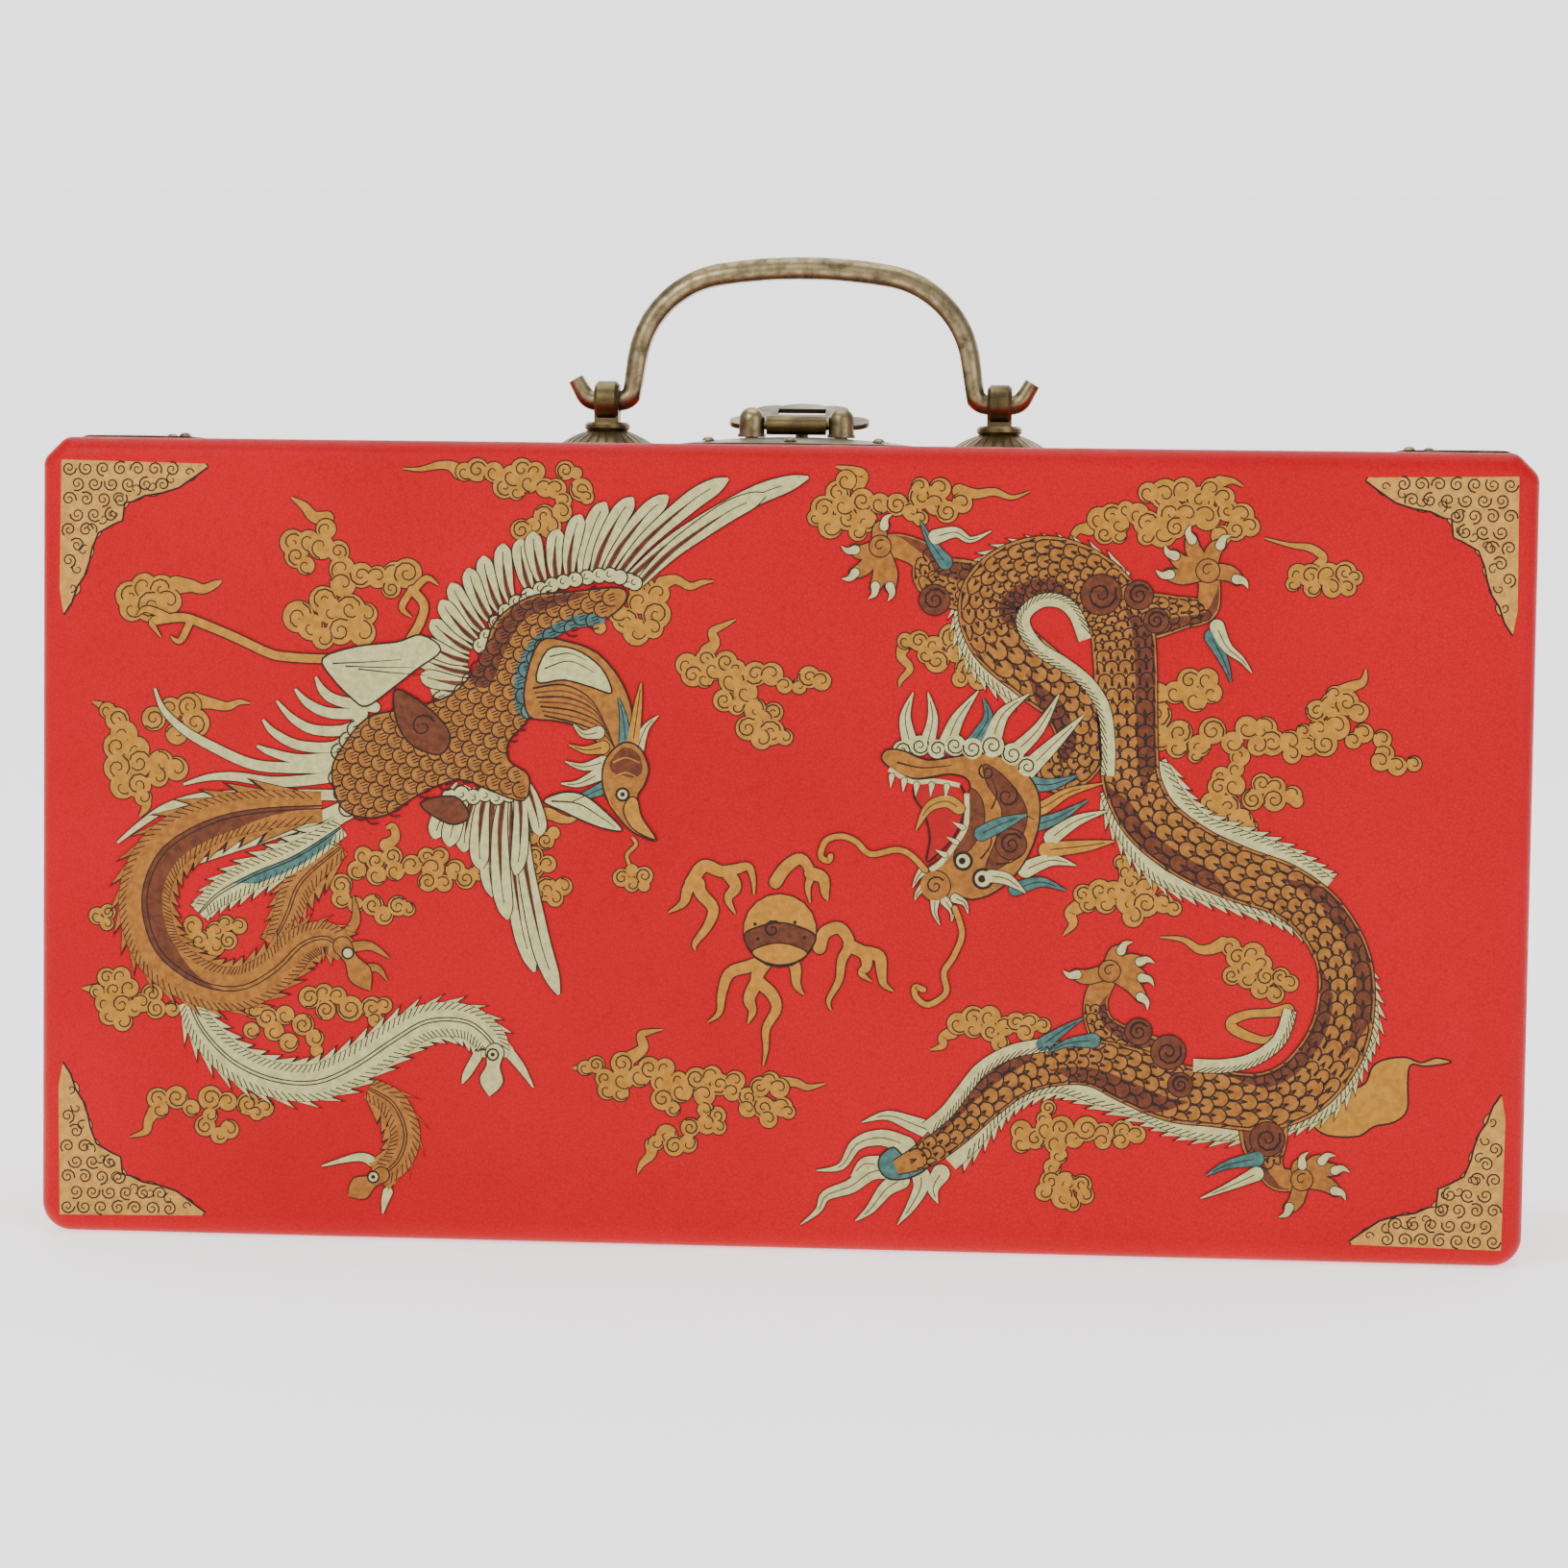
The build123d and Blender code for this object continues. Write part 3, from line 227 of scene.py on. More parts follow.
def grain(skin):
    """The embossed leather grain: small uneven cells with fine creases between them."""
    creases = skin.levels(skin.cell_edges(1150.0), 0.0, 0.25)
    pores = skin.noise(2600.0, 2.0)
    waves = skin.noise(55.0, 2.0)
    low = skin.bump(waves, 0.5, 0.35)
    fine = skin.bump(creases, 0.028, 0.75, low)
    return skin.bump(pores, 0.02, 0.5, fine), creases


def leatherette():
    skin = Finish("red_leatherette", specular=0.12)
    normal, creases = grain(skin)
    broad = skin.ramp(skin.noise(14.0, 4.0), [(0.3, (0.41, 0.0, 0.0055)), (0.7, (0.48, 0.0, 0.0075))])
    # Painted shade: the red is darkened towards (0.24, 0, 0.0015) in the creases between the grain cells.
    deep = skin.mix(skin.levels(creases, 0.0, 0.5, 0.35, 0.0), broad, (0.24, 0.0, 0.0015))
    rough = skin.levels(skin.noise(320.0, 3.0), 0.3, 0.7, 0.34, 0.46)
    return skin.finish(colour=deep, rough=rough, normal=normal)


def printed(name, light, dark):
    """Ink laid on the grained leatherette, a little uneven and worn through in specks."""
    ink = Finish(name, specular=0.2)
    normal, creases = grain(ink)
    tone = ink.ramp(ink.noise(700.0, 4.0), [(0.35, dark), (0.65, light)])
    worn = ink.levels(ink.noise(420.0, 5.0, rough=0.7), 0.22, 0.24, 1.0, 0.0)
    tone = ink.mix(worn, tone, (0.38, 0.0, 0.003))
    return ink.finish(colour=tone, rough=ink.levels(creases, 0.0, 0.5, 0.5, 0.42), normal=normal)


def brass(name, dark, bright, rubbed=0.5, scratch=0.35, patch_scale=130.0):
    """Aged brass: brown with brighter rubbed patches spread at random, and fine scratches."""
    metal = Finish(name, metal=1.0)
    patches = metal.noise(patch_scale, 6.0)
    streaks = metal.noise(900.0, 4.0, stretch=(1.0, 6.0, 6.0))
    base = metal.ramp(patches, [(0.32, dark), (0.72 - 0.2 * rubbed, bright)])
    colour = metal.mix(metal.levels(streaks, 0.55, 0.72, 0.0, 0.5), base, bright)
    rough = metal.levels(patches, 0.3, 0.75, 0.48, 0.26)
    fine = metal.bump(streaks, 0.02, scratch)
    normal = metal.bump(metal.noise(420.0, 3.0), 0.05, scratch, fine)
    return metal.finish(colour=colour, rough=rough, normal=normal)


ALONG_THE_GRAIN = (1.0, 14.0, 14.0)


def timber(name, pale, dark):
    wood = Finish(name, rough=0.6)
    rings = wood.noise(26.0, 6.0, stretch=ALONG_THE_GRAIN)
    fibres = wood.noise(240.0, 3.0, stretch=ALONG_THE_GRAIN)
    tone = wood.ramp(rings, [(0.3, dark), (0.5, pale), (0.7, dark)])
    colour = wood.mix(wood.levels(fibres, 0.4, 0.6, 0.0, 0.5), tone, dark)
    return wood.finish(colour=colour, rough=wood.levels(fibres, 0.3, 0.7, 0.5, 0.7),
                       normal=wood.bump(fibres, 0.06, 0.5))


def velvet():
    pile = Finish("dark_red_velvet", rough=0.95, specular=0.2)
    pile.shader.inputs["Sheen Weight"].default_value = 0.6
    pile.shader.inputs["Sheen Roughness"].default_value = 0.4
    tone = pile.ramp(pile.noise(60.0, 5.0), [(0.3, (0.12, 0.004, 0.010)), (0.7, (0.22, 0.008, 0.018))])
    return pile.finish(colour=tone, normal=pile.bump(pile.noise(3200.0, 2.0), 0.08, 0.8))


def steel():
    metal = Finish("zinc_plated_steel", metal=1.0)
    marks = metal.noise(700.0, 4.0)
    return metal.finish(colour=metal.ramp(marks, [(0.3, (0.42, 0.42, 0.43)), (0.7, (0.62, 0.62, 0.64))]),
                        rough=metal.levels(marks, 0.3, 0.7, 0.28, 0.5))


FINISHES = {
    "red leatherette": leatherette(),
    "board": timber("plywood_board", (0.52, 0.36, 0.20), (0.38, 0.24, 0.12)),
    "drawer wood": timber("planed_wood", (0.62, 0.43, 0.24), (0.44, 0.27, 0.13)),
    "lining": velvet(),
    "aged brass": brass("aged_brass", (0.042, 0.031, 0.014), (0.22, 0.165, 0.075), 0.3),
    "bright worn brass": brass("rubbed_brass", (0.10, 0.078, 0.040), (0.33, 0.26, 0.14), 0.6, 0.7, 340.0),
    "steel": steel(),
}

# ---------------------------------------------------------------- the printed picture: how it is drawn

PRINT_PROUD = 0.02
LAYER = 0.004
OUTLINE = 0.25
INKS = ("gold", "corner", "pale", "ochre", "brown", "teal", "ink", "red")
printing = {name: bmesh.new() for name in INKS}
shape_count = 0


def own_level(level):
    """Keeps two shapes of one layer from lying in exactly the same plane."""
    global shape_count
    shape_count += 1
    return level + 0.037 * (shape_count % 13)


def on_face(x, z, level):
    """A point of the picture on the lid's face, a hair in front of the layers under it."""
    return Vector((x, LID_FACE - PRINT_PROUD - LAYER * level, z)) * MM


def flow(points, per=6, closed=False):
    """A smooth line through points of any number of values."""
    count = len(points)
    if count < 3:
        return [[a + (b - a) * i / per for a, b in zip(*points)] for i in range(per + 1)]
    line = []
    for i in range(count if closed else count - 1):
        around = [points[(i + k) % count] if closed else points[min(max(i + k, 0), count - 1)]
                  for k in (-1, 0, 1, 2)]
        for step in range(per):
            t = step / per
            line.append([0.5 * (2 * b + (c - a) * t + (2 * a - 5 * b + 4 * c - d) * t * t
                                + (3 * b - a - 3 * c + d) * t ** 3) for a, b, c, d in zip(*around)])
    if not closed:
        line.append(list(points[-1]))
    return line


def lay_ribbon(ink, level, line):
    """A ribbon along a line of (x, z, width)."""
    mesh = printing[ink]
    level = own_level(level)
    pair = None
    for i, (x, z, width) in enumerate(line):
        before, after = line[max(i - 1, 0)], line[min(i + 1, len(line) - 1)]
        dx, dz = after[0] - before[0], after[1] - before[1]
        size = sqrt(dx * dx + dz * dz) or 1.0
        sx, sz = -dz / size * width / 2, dx / size * width / 2
        here = (mesh.verts.new(on_face(x + sx, z + sz, level)), mesh.verts.new(on_face(x - sx, z - sz, level)))
        if pair:
            mesh.faces.new((pair[0], pair[1], here[1], here[0]))
        pair = here


def trace(line, level, width=0.3, ink="ink"):
    """A line of even width through points that already flow."""
    lay_ribbon(ink, level, [(p[0], p[1], width) for p in line])


def pen(level, points, width=0.35, ink="ink", per=5):
    """A flowing pen line that thins out at its far end."""
    line = flow(points, per)
    last = len(line) - 1
    lay_ribbon(ink, level, [(p[0], p[1], width * (1 - 0.6 * i / last)) for i, p in enumerate(line)])


def patch(ink, level, points, per=4, rim=OUTLINE):
    """A filled shape with a flowing edge, and its dark outline."""
    line = flow(points, per, closed=True)
    level = own_level(level)
    face = printing[ink].faces.new([printing[ink].verts.new(on_face(x, z, level)) for x, z in line])
    face.normal_update()
    bmesh.ops.triangulate(printing[ink], faces=[face])
    if rim:
        trace(line + [line[0]], level + 0.5, 1.5 * rim)
    return line


def disc(ink, level, x, z, radius):
    """A round spot."""
    sides = 8 if radius < 0.7 else 12 if radius < 1.6 else 18
    made = bmesh.ops.create_circle(printing[ink], cap_ends=True, segments=sides, radius=radius * MM)
    place = Matrix.Translation(on_face(x, z, own_level(level))) @ Matrix.Rotation(pi / 2, 4, "X")
    bmesh.ops.transform(printing[ink], matrix=place, verts=made["verts"])


def spot(ink, level, x, z, radius, rim=OUTLINE):
    """A round spot with its dark outline."""
    disc("ink", level, x, z, radius + rim)
    disc(ink, level + 1, x, z, radius)


def limb(ink, level, points, per=5, rim=OUTLINE):
    """A tapering shape along (x, z, half-width) points, with its dark outline."""
    line = [(x, z, 2 * w) for x, z, w in flow(points, per)]
    lay_ribbon("ink", level, [(x, z, w + 2 * rim) for x, z, w in line])
    lay_ribbon(ink, level + 1, line)
    for x, z, w in (line[0], line[-1]):
        if w > 0.9:
            spot(ink, level, x, z, w / 2, rim)


def scroll(level, x, z, radius, heading, hand=1, width=0.34, turns=1.3):
    """The spiral line inside a cloud's head or over a shoulder."""
    steps = 14
    line = []
    for i in range(steps + 1):
        share = i / steps
        angle = heading + hand * share * turns * 2 * pi
        reach = radius * (1 - 0.85 * share)
        line.append((x + reach * cos(angle), z + reach * sin(angle), width * (1 - 0.3 * share)))
    lay_ribbon("ink", level, line)


def heads(ink, lobes, level=1.0):
    """Round cloud heads, each laid over those before it that it touches."""
    placed = []
    middle = (sum(p[0] for p in lobes) / len(lobes), sum(p[1] for p in lobes) / len(lobes))
    for x, z, radius, *turn in lobes:
        hand = turn[0] if turn else 0
        here = level
        for px, pz, reach, above in placed:
            if (x - px) ** 2 + (z - pz) ** 2 < (radius + reach + 0.6) ** 2:
                here = max(here, above + 2)
        placed.append((x, z, radius, here))
        disc("ink", level, x, z, radius + OUTLINE)
        disc(ink, here + 1, x, z, radius)
        outward = atan2(z - middle[1], x - middle[0])
        if hand:
            scroll(here + 1.5, x, z, radius * 0.93, outward + 2.5 * hand, hand, 0.36, 1.45)
        elif radius > 1.3:
            scroll(here + 1.5, x, z, radius * 0.93, outward + 2.6, -1, 0.32, 0.75)


def cloud(lobes, *tails):
    """A scroll cloud and the wisps that trail from it."""
    for tail in tails:
        limb("gold", 0, tail)
    heads("gold", lobes)


class Band:
    """A long body: its middle line with half-widths, and points along it (0 to 1) and across (-1 to 1)."""

    def __init__(self, points, per=7):
        self.line = [(x, z, 2 * w) for x, z, w in flow(points, per)]
        steps = zip(self.line, self.line[1:])
        self.length = sum(sqrt((a[0] - b[0]) ** 2 + (a[1] - b[1]) ** 2) for a, b in steps)

    def at(self, along, across):
        place = min(max(along, 0.0), 1.0) * (len(self.line) - 1)
        i = min(int(place), len(self.line) - 2)
        x, z, width = (a + (b - a) * (place - i) for a, b in zip(self.line[i], self.line[i + 1]))
        before, after = self.line[max(i - 1, 0)], self.line[min(i + 2, len(self.line) - 1)]
        dx, dz = after[0] - before[0], after[1] - before[1]
        size = sqrt(dx * dx + dz * dz) or 1.0
        return x - dz / size * across * width / 2, z + dx / size * across * width / 2

    def width(self, along):
        return self.line[int(min(max(along, 0.0), 1.0) * (len(self.line) - 1))][2]

    def fill(self, ink, level, rim=OUTLINE):
        lay_ribbon("ink", level, [(x, z, w + 2 * rim) for x, z, w in self.line])
        lay_ribbon(ink, level + 1, self.line)

    def strip(self, ink, level, low, high, start=0.0, end=1.0):
        """Part of the band's width, in its own ink, drawn out to points at both ends."""
        steps = max(int(self.length * (end - start) / 1.5), 4)
        line = []
        for i in range(steps + 1):
            share = i / steps
            t = start + (end - start) * share
            full = min(1.0, 5 * share, 5 * (1 - share)) if end - start < 0.9 else 1.0
            a, b = self.at(t, low), self.at(t, low + (high - low) * max(full, 0.1))
            line.append(((a[0] + b[0]) / 2, (a[1] + b[1]) / 2, sqrt((a[0] - b[0]) ** 2 + (a[1] - b[1]) ** 2)))
        lay_ribbon(ink, level, line)

    def scales(self, level, size=3.0, start=0.0, end=1.0, low=-0.85, high=0.85, back=1, width=0.3):
        """Rows of overlapping scales, every other row half a scale aside."""
        rows = max(int(self.length * (end - start) / (size * 0.74)), 1)
        for row in range(rows):
            t = start + (end - start) * (row + 0.5) / rows
            wide = self.width(t) * (high - low) / 2
            count = max(int(round(wide / size)), 1)
            for n in range(count + row % 2):
                v = low + (high - low) * (n + (0.0 if row % 2 else 0.5)) / count
                half = wide / count * 0.56
                line = []
                for step in range(8):
                    angle = radians(-100 + 200 * step / 7)
                    across = v + half * sin(angle) * 2 / self.width(t)
                    line.append(self.at(t + back * half * cos(angle) * 1.1 / self.length,
                                        min(max(across, low), high)))
                trace(line, level, width)
                root = self.at(t + back * half * 0.2 / self.length, v)
                for part in (-0.5, 0.0, 0.5):
                    start_point = self.at(t - back * half * 0.5 / self.length, v + part * half / self.width(t))
                    trace([start_point, ((root[0] + start_point[0]) / 2, (root[1] + start_point[1]) / 2), root],
                          level - 0.3, 0.26)

    def saw(self, ink, level, side, start, end, deep=1.7, tooth=3.0, lean=0.9, root=0.35):
        """Hooked teeth along one edge, each outlined in ink."""
        count = max(int(self.length * (end - start) / tooth), 1)
        for n in range(count):
            t = start + (end - start) * n / count
            step = (end - start) / count
            reach = 1 + 2 * deep / max(self.width(t), 1.0)
            a = self.at(t, side * 0.9)
            b = self.at(t + step * (1 + root), side * 0.9)
            tip = self.at(t + step * (1 + lean), side * reach)
            for colour, up, grow in (("ink", 0, 1.16), (ink, 1, 0.9)):
                mid = ((a[0] + b[0] + tip[0]) / 3, (a[1] + b[1] + tip[1]) / 3)
                corners = [printing[colour].verts.new(on_face(mid[0] + (p[0] - mid[0]) * grow,
                                                              mid[1] + (p[1] - mid[1]) * grow, level + up))
                           for p in (a, b, tip)]
                printing[colour].faces.new(corners)

    def hatch(self, level, side, start, end, gap=1.0, long=1.6, width=0.22):
        """Short slanting pen strokes in from one edge."""
        count = int(self.length * (end - start) / gap)
        for n in range(count):
            t = start + (end - start) * n / count
            wide = max(self.width(t), 1.0)
            deep = side * (1 - min(2 * long / wide, 0.8))
            trace([self.at(t, side), self.at(t - 0.9 * long / self.length, deep)], level, width)


def scale_field(outline, level, size, heading, width=0.3):
    """Scales over a whole shape, all facing one way (in degrees)."""
    ax, az = cos(radians(heading)), sin(radians(heading))
    reach = 45
    cx = sum(p[0] for p in outline) / len(outline)
    cz = sum(p[1] for p in outline) / len(outline)
    steps = int(reach / size)
    for row in range(-steps, steps + 1):
        for n in range(-steps, steps + 1):
            along, across = row * size * 0.72, (n + 0.5 * (row % 2)) * size
            x, z = cx + ax * along - az * across, cz + az * along + ax * across
            if not inside(outline, x, z):
                continue
            line = []
            for step in range(8):
                angle = radians(-100 + 200 * step / 7)
                u, v = size * 0.56 * cos(angle), size * 0.54 * sin(angle)
                line.append((x + ax * u - az * v, z + az * u + ax * v))
            trace(line, level, width)
            for v in (-0.6, 0.0, 0.6):
                stroke = [(x + ax * u - az * v, z + az * u + ax * v) for u in (-0.9, 0.5)]
                trace(stroke, level - 0.3, 0.24)


def inside(outline, x, z):
    """Whether a point lies within a closed outline."""
    hit = False
    for (ax, az), (bx, bz) in zip(outline, outline[1:] + outline[:1]):
        if (az > z) != (bz > z) and x < ax + (bx - ax) * (z - az) / (bz - az):
            hit = not hit
    return hit


def feather(level, root, tip, half, bow):
    """One pale feather from its root to its rounded tip, brown at the root, with its quill."""
    dx, dz = tip[0] - root[0], tip[1] - root[1]
    points = []
    for share, part in ((0, 0.45), (0.3, 0.8), (0.7, 1.0), (0.9, 0.8), (1.0, 0.15)):
        bend = bow * 4 * share * (1 - share)
        points.append((root[0] + dx * share - dz * bend, root[1] + dz * share + dx * bend, half * part))
    line = [(x, z, 2 * w) for x, z, w in flow(points, 5)]
    lay_ribbon("ink", level, [(x, z, w + 2 * OUTLINE) for x, z, w in line])
    lay_ribbon("pale", level + 1, line)
    lay_ribbon("brown", level + 1.3, [(x, z, w * 0.6 * (1 - i / 11)) for i, (x, z, w) in enumerate(line[:11])])
    trace(line[:15], level + 1.6, 0.2)


def plume(ink, level, points, eye=None, bulb=None, shade=None, tooth=3.2, deep=1.6):
    """A long saw-edged tail plume with a double quill, and at its end a bulb with an eye."""
    band = Band(points)
    for side in (-1, 1):
        band.saw(ink, level, side, 0.02, 0.96, deep, tooth)
    band.fill(ink, level + 1.0, 0.1)
    if shade:
        band.strip(shade, level + 2.3, -0.1, 0.7, 0.0, 0.62)
    for side in (-1, 1):
        band.hatch(level + 2.8, side, 0.03, 0.96, 1.1, 1.5)
    for across in (-0.1, 0.1):
        trace([band.at(t / 40, across) for t in range(41)], level + 3, 0.26)
    if bulb:
        (x, z, half), (to_x, to_z) = points[-1], bulb
        way_x, way_z = to_x - x, to_z - z
        steps = ((-0.2, half * 0.7), (0.4, 1.3), (1.0, 2.3), (1.4, 1.7), (1.8, 0.1))
        limb(ink, level + 3.2, [(x + way_x * go, z + way_z * go, wide) for go, wide in steps])
    if eye:
        disc("ink", level + 4.2, *eye, 1.35)
        disc("pale", level + 4.6, *eye, 0.95)
        disc("ink", level + 5.0, *eye, 0.45)


def foot(level, palm, toes, half=1.5):
    """A clawed foot: the palm and toes that end in hooked pale nails."""
    for x, z in toes:
        dx, dz = x - palm[0], z - palm[1]
        size = sqrt(dx * dx + dz * dz)
        ux, uz = dx / size, dz / size
        knuckle = (palm[0] + dx * 0.55 - uz * 0.7, palm[1] + dz * 0.55 + ux * 0.7, half)
        limb("ochre", level, [(*palm, half), knuckle, (x - ux * 1.4, z - uz * 1.4, half * 0.75)], 4)
        limb("pale", level + 2, [(x - ux * 1.6, z - uz * 1.6, half * 0.62), (x, z, half * 0.4),
                                 (x + ux * 1.1 + uz * 1.1, z + uz * 1.1 - ux * 1.1, 0.06)], 4, 0.2)
    spot("ochre", level + 2, *palm, half * 1.5)
    scroll(level + 3.5, *palm, half, 1.0, 1, 0.3, 0.8)


def thinning(points, half, tip=0.12, power=1.0):
    """Half-widths for a line of (x, z), from its root to a fine tip."""
    last = len(points) - 1
    return [(x, z, half * (1 - (i / last) ** power) + tip) for i, (x, z) in enumerate(points)]


def lock(level, points, ink="pale"):
    """A tapering lock of hair or flame with a strand drawn in it."""
    limb(ink, level, points, 5, 0.2)
    band = Band(points, 5)
    trace([band.at(t / 14, 0.0) for t in range(1, 12)], level + 1.5, 0.2)


def shoulder(level, x, z, radius, hand=1):
    """The dark spiral muscle over a dragon's shoulder."""
    spot("brown", level, x, z, radius)
    scroll(level + 1.5, x, z, radius * 0.8, 0.5, hand, 0.5, 1.6)


# ---------------------------------------------------------------- the printed picture: what it shows


def print_corners():
    """The scroll ornament in each corner of the face."""
    edge = [(-145.6, 157.3), (-116, 156.8), (-115.6, 156.1), (-118.5, 154), (-121.5, 151.9), (-125, 150.8),
        (-128.5, 150.2), (-131, 149), (-132.6, 148.8), (-133, 145.2), (-135, 144.3), (-138, 142.6),
        (-139.3, 139.3), (-139.8, 136.8), (-140.8, 133.9), (-142.3, 131.6), (-143.4, 128.4), (-145, 126),
        (-145.9, 131)]
    round_heads = [(-119.5, 155, 1.6), (-123, 153.6, 2), (-127, 152.3, 2.1), (-130.5, 151.5, 2.2),
        (-134, 149.5, 2.3), (-134.5, 146.5, 1.6), (-137, 145.5, 1.9), (-139.5, 143.5, 2.2), (-141, 139, 2),
        (-142.2, 135.3, 1.9), (-143.3, 131.5, 1.6)]
    spirals = []
    for row in range(9):
        for step in range(9):
            x, z = -144 + 3.5 * step + 1.7 * (row % 2), 155.6 - 3.1 * row
            if all(inside(edge, x + dx, z + dz) for dx, dz in ((1.5, 0), (-1.4, 0), (0, 1.3), (0, -1.5))):
                spirals.append((x, z, 1.55))
    for right in (False, True):
        for low in (False, True):
            sx = -1 if right else 1
            turned = [(sx * x, 161 - z if low else z) for x, z in edge]
            for x, z, radius in round_heads:
                spot("corner", 0, sx * x, 161 - z if low else z, radius)
            patch("corner", 2, turned, 1, 0)
            trace(turned[1:-1], 2.6, 0.4)
            for index, (x, z, radius) in enumerate(spirals):
                scroll(3, sx * x, 161 - z if low else z, radius, 2.4 * index, 1 if index % 2 else -1, 0.36, 1.5)
            for index, (x, z, radius) in enumerate(round_heads):
                scroll(3, sx * x, 161 - z if low else z, radius * 0.62, 1.7 * index, 1, 0.3, 0.9)


def print_clouds():
    """The scroll clouds that fill the ground between the two creatures."""
    cloud([(-131.5, 130, 2.9, 1), (-128.5, 132, 2.6), (-125, 131.5, 2.8, -1), (-131, 127.5, 2.6),
        (-127.3, 128, 3.2, 1), (-123.5, 129, 2.6)], [(-122, 132.3, 1.8), (-119, 132.2, 1.2),
        (-116.5, 131.6, .9), (-114, 132.6, .7), (-112.8, 133.3, .2)])
    cloud([(-98.3, 141.2, 2.6, 1), (-97.5, 138.5, 2.4, -1), (-95.6, 136.6, 1.8), (-95, 141.5, 2.2),
        (-91.5, 144, 2), (-92.5, 140.5, 2.6), (-89, 139.5, 2.2, 1), (-88.2, 136, 2.6), (-88, 133, 2.6),
        (-84.3, 134.8, 2.5, 1), (-81, 134.5, 2.2), (-77.5, 135.2, 2.4), (-75, 135.3, 3, -1),
        (-78.2, 132.2, 1.9, 1), (-92, 129.7, 2.8, 1), (-97, 126.3, 3.2, -1), (-94.5, 124.3, 2.7),
        (-90.5, 127.5, 2.6), (-86.5, 128, 3, -1), (-83.2, 127, 2.2), (-88.5, 123.6, 2.8, 1), (-84, 123.3, 2.7),
        (-92, 122, 2.2)], [(-91.3, 146.2, 1.3), (-94, 146.4, 1.1), (-96, 148.5, .8), (-98.6, 150.2, .2)])
    cloud([(-136, 106.8, 1.6), (-134, 105, 2.4, 1), (-132.6, 102, 2.8), (-134, 99.5, 2.8, -1),
        (-126.5, 105.3, 2.4, 1), (-123, 107.3, 2.3), (-119.3, 108, 2.5, -1), (-118, 104.5, 2.9, 1),
        (-121.8, 102.3, 2.2), (-130, 99, 2.6), (-129.5, 96.3, 2.8, 1), (-125, 96.3, 2.6), (-121.8, 95.2, 2.4),
        (-133.8, 95.2, 2.9, -1), (-125.5, 93.5, 2), (-132.8, 91.5, 2.6), (-129.6, 91.8, 2.6, 1),
        (-128.6, 89.3, 1.7)], [(-118, 109, 1.6), (-115, 108.6, 1.1), (-111.5, 108, .8), (-109, 108.9, .5),
        (-106.8, 108.7, .15)], [(-128.5, 89.5, 1.3), (-128, 87.5, .9), (-129.3, 85.4, .2)], [(-135.5, 107, 1.2),
        (-139, 108.5, .2)])
    cloud([(-63.5, 155.8, 1.8), (-61, 156.2, 2.3, 1), (-57.6, 155.8, 2), (-55.5, 152.9, 2.3, -1),
        (-53, 151.9, 1.6), (-54, 155, 2.2), (-52, 156.4, 2.2, 1), (-49.2, 156, 1.9), (-50.5, 153.8, 2),
        (-47.2, 152.8, 1.9), (-45, 152.6, 2), (-43.2, 156.3, 1.9, -1), (-41, 155.8, 1.2), (-40, 152.5, 2.3, 1),
        (-38.8, 151, 1.4), (-43.5, 150.3, 1.6), (-43.8, 148, 2), (-47.3, 147.2, 2.2, -1), (-46.2, 145, 2.3),
        (-49.5, 145, 1.8), (-52, 144.3, 2.1, 1)], [(-64.5, 155.8, 1.5), (-66.5, 157, .9), (-69, 157, .7),
        (-72.5, 156.2, .4), (-76, 156.3, .12)])
    cloud([(-27.6, 133, 2.6, 1), (-24.2, 132, 2.2), (-28, 130.3, 2.4), (-24.6, 127.8, 2.9, -1),
        (-30.8, 126.5, 2.6, 1), (-28.6, 124.2, 2.7), (-25.2, 125, 2), (-32.5, 128, 2), (-36, 125, 1.3)],
        [(-23.5, 134, 1.4), (-20.8, 134.8, .9), (-18, 133.5, .7), (-15.5, 134.3, .5), (-13.2, 134.6, .15)])
    cloud([(-18.3, 117.8, 2.3), (-17.2, 115.8, 2.3, 1), (-14.8, 115, 1.7), (-14.6, 119, 2, 1), (-13, 117, 2.2),
        (-10.5, 118.5, 2.2, -1), (-8.3, 117.2, 1.7), (-9.5, 114.8, 2.4), (-6.5, 112.5, 2.4),
        (-4.6, 116.2, 2.4, 1), (-1.3, 116.2, 2.3), (1.3, 114, 1.6), (4.2, 113.8, 1.5), (6.2, 115.7, 2.2, 1),
        (8.7, 115, 1.9), (-10.8, 110.8, 2.2, -1), (-8.3, 109.5, 1.6), (-4.5, 109, 2.2), (-.8, 108.6, 1.9, -1),
        (-2.6, 107, 2), (-6, 105.3, 2.4, 1), (-1.2, 104.6, 2.6, -1), (-3.2, 103.2, 2.1), (1.5, 103.6, 1.6)],
        [(-14.4, 120.5, 1.4), (-12.8, 122.3, 1), (-13.3, 124.5, .8), (-11, 125.8, .5), (-8.7, 127, .15)])
    cloud([(11.4, 152.5, 2.4, 1), (13, 155, 2), (16.3, 151, 2.4, -1), (8.6, 149.4, 2.5, 1), (7, 147.5, 1.6),
        (10, 145.8, 2.4), (13.4, 147.5, 2.4, -1), (12.5, 150, 2.2), (17, 147, 2.3), (15.5, 144.8, 1.8),
        (19.8, 150.5, 2), (23.2, 150.3, 2.2, 1), (26.3, 149, 1.9), (28, 152, 2.5, -1), (27.8, 154, 1.7),
        (31.8, 153.6, 2.1), (31, 150.5, 2.2), (33.2, 149, 2.2, 1), (36.2, 150.8, 2), (28, 147.6, 1.5)],
        [(35.5, 153.2, 1.3), (39, 152.6, .9), (42.5, 153.1, .7), (46, 152, .4), (49.5, 153.2, .12)],
        [(15.3, 154.3, 1.5), (16.2, 156, 1.2), (14.3, 157, .8), (11, 157.7, .2)])
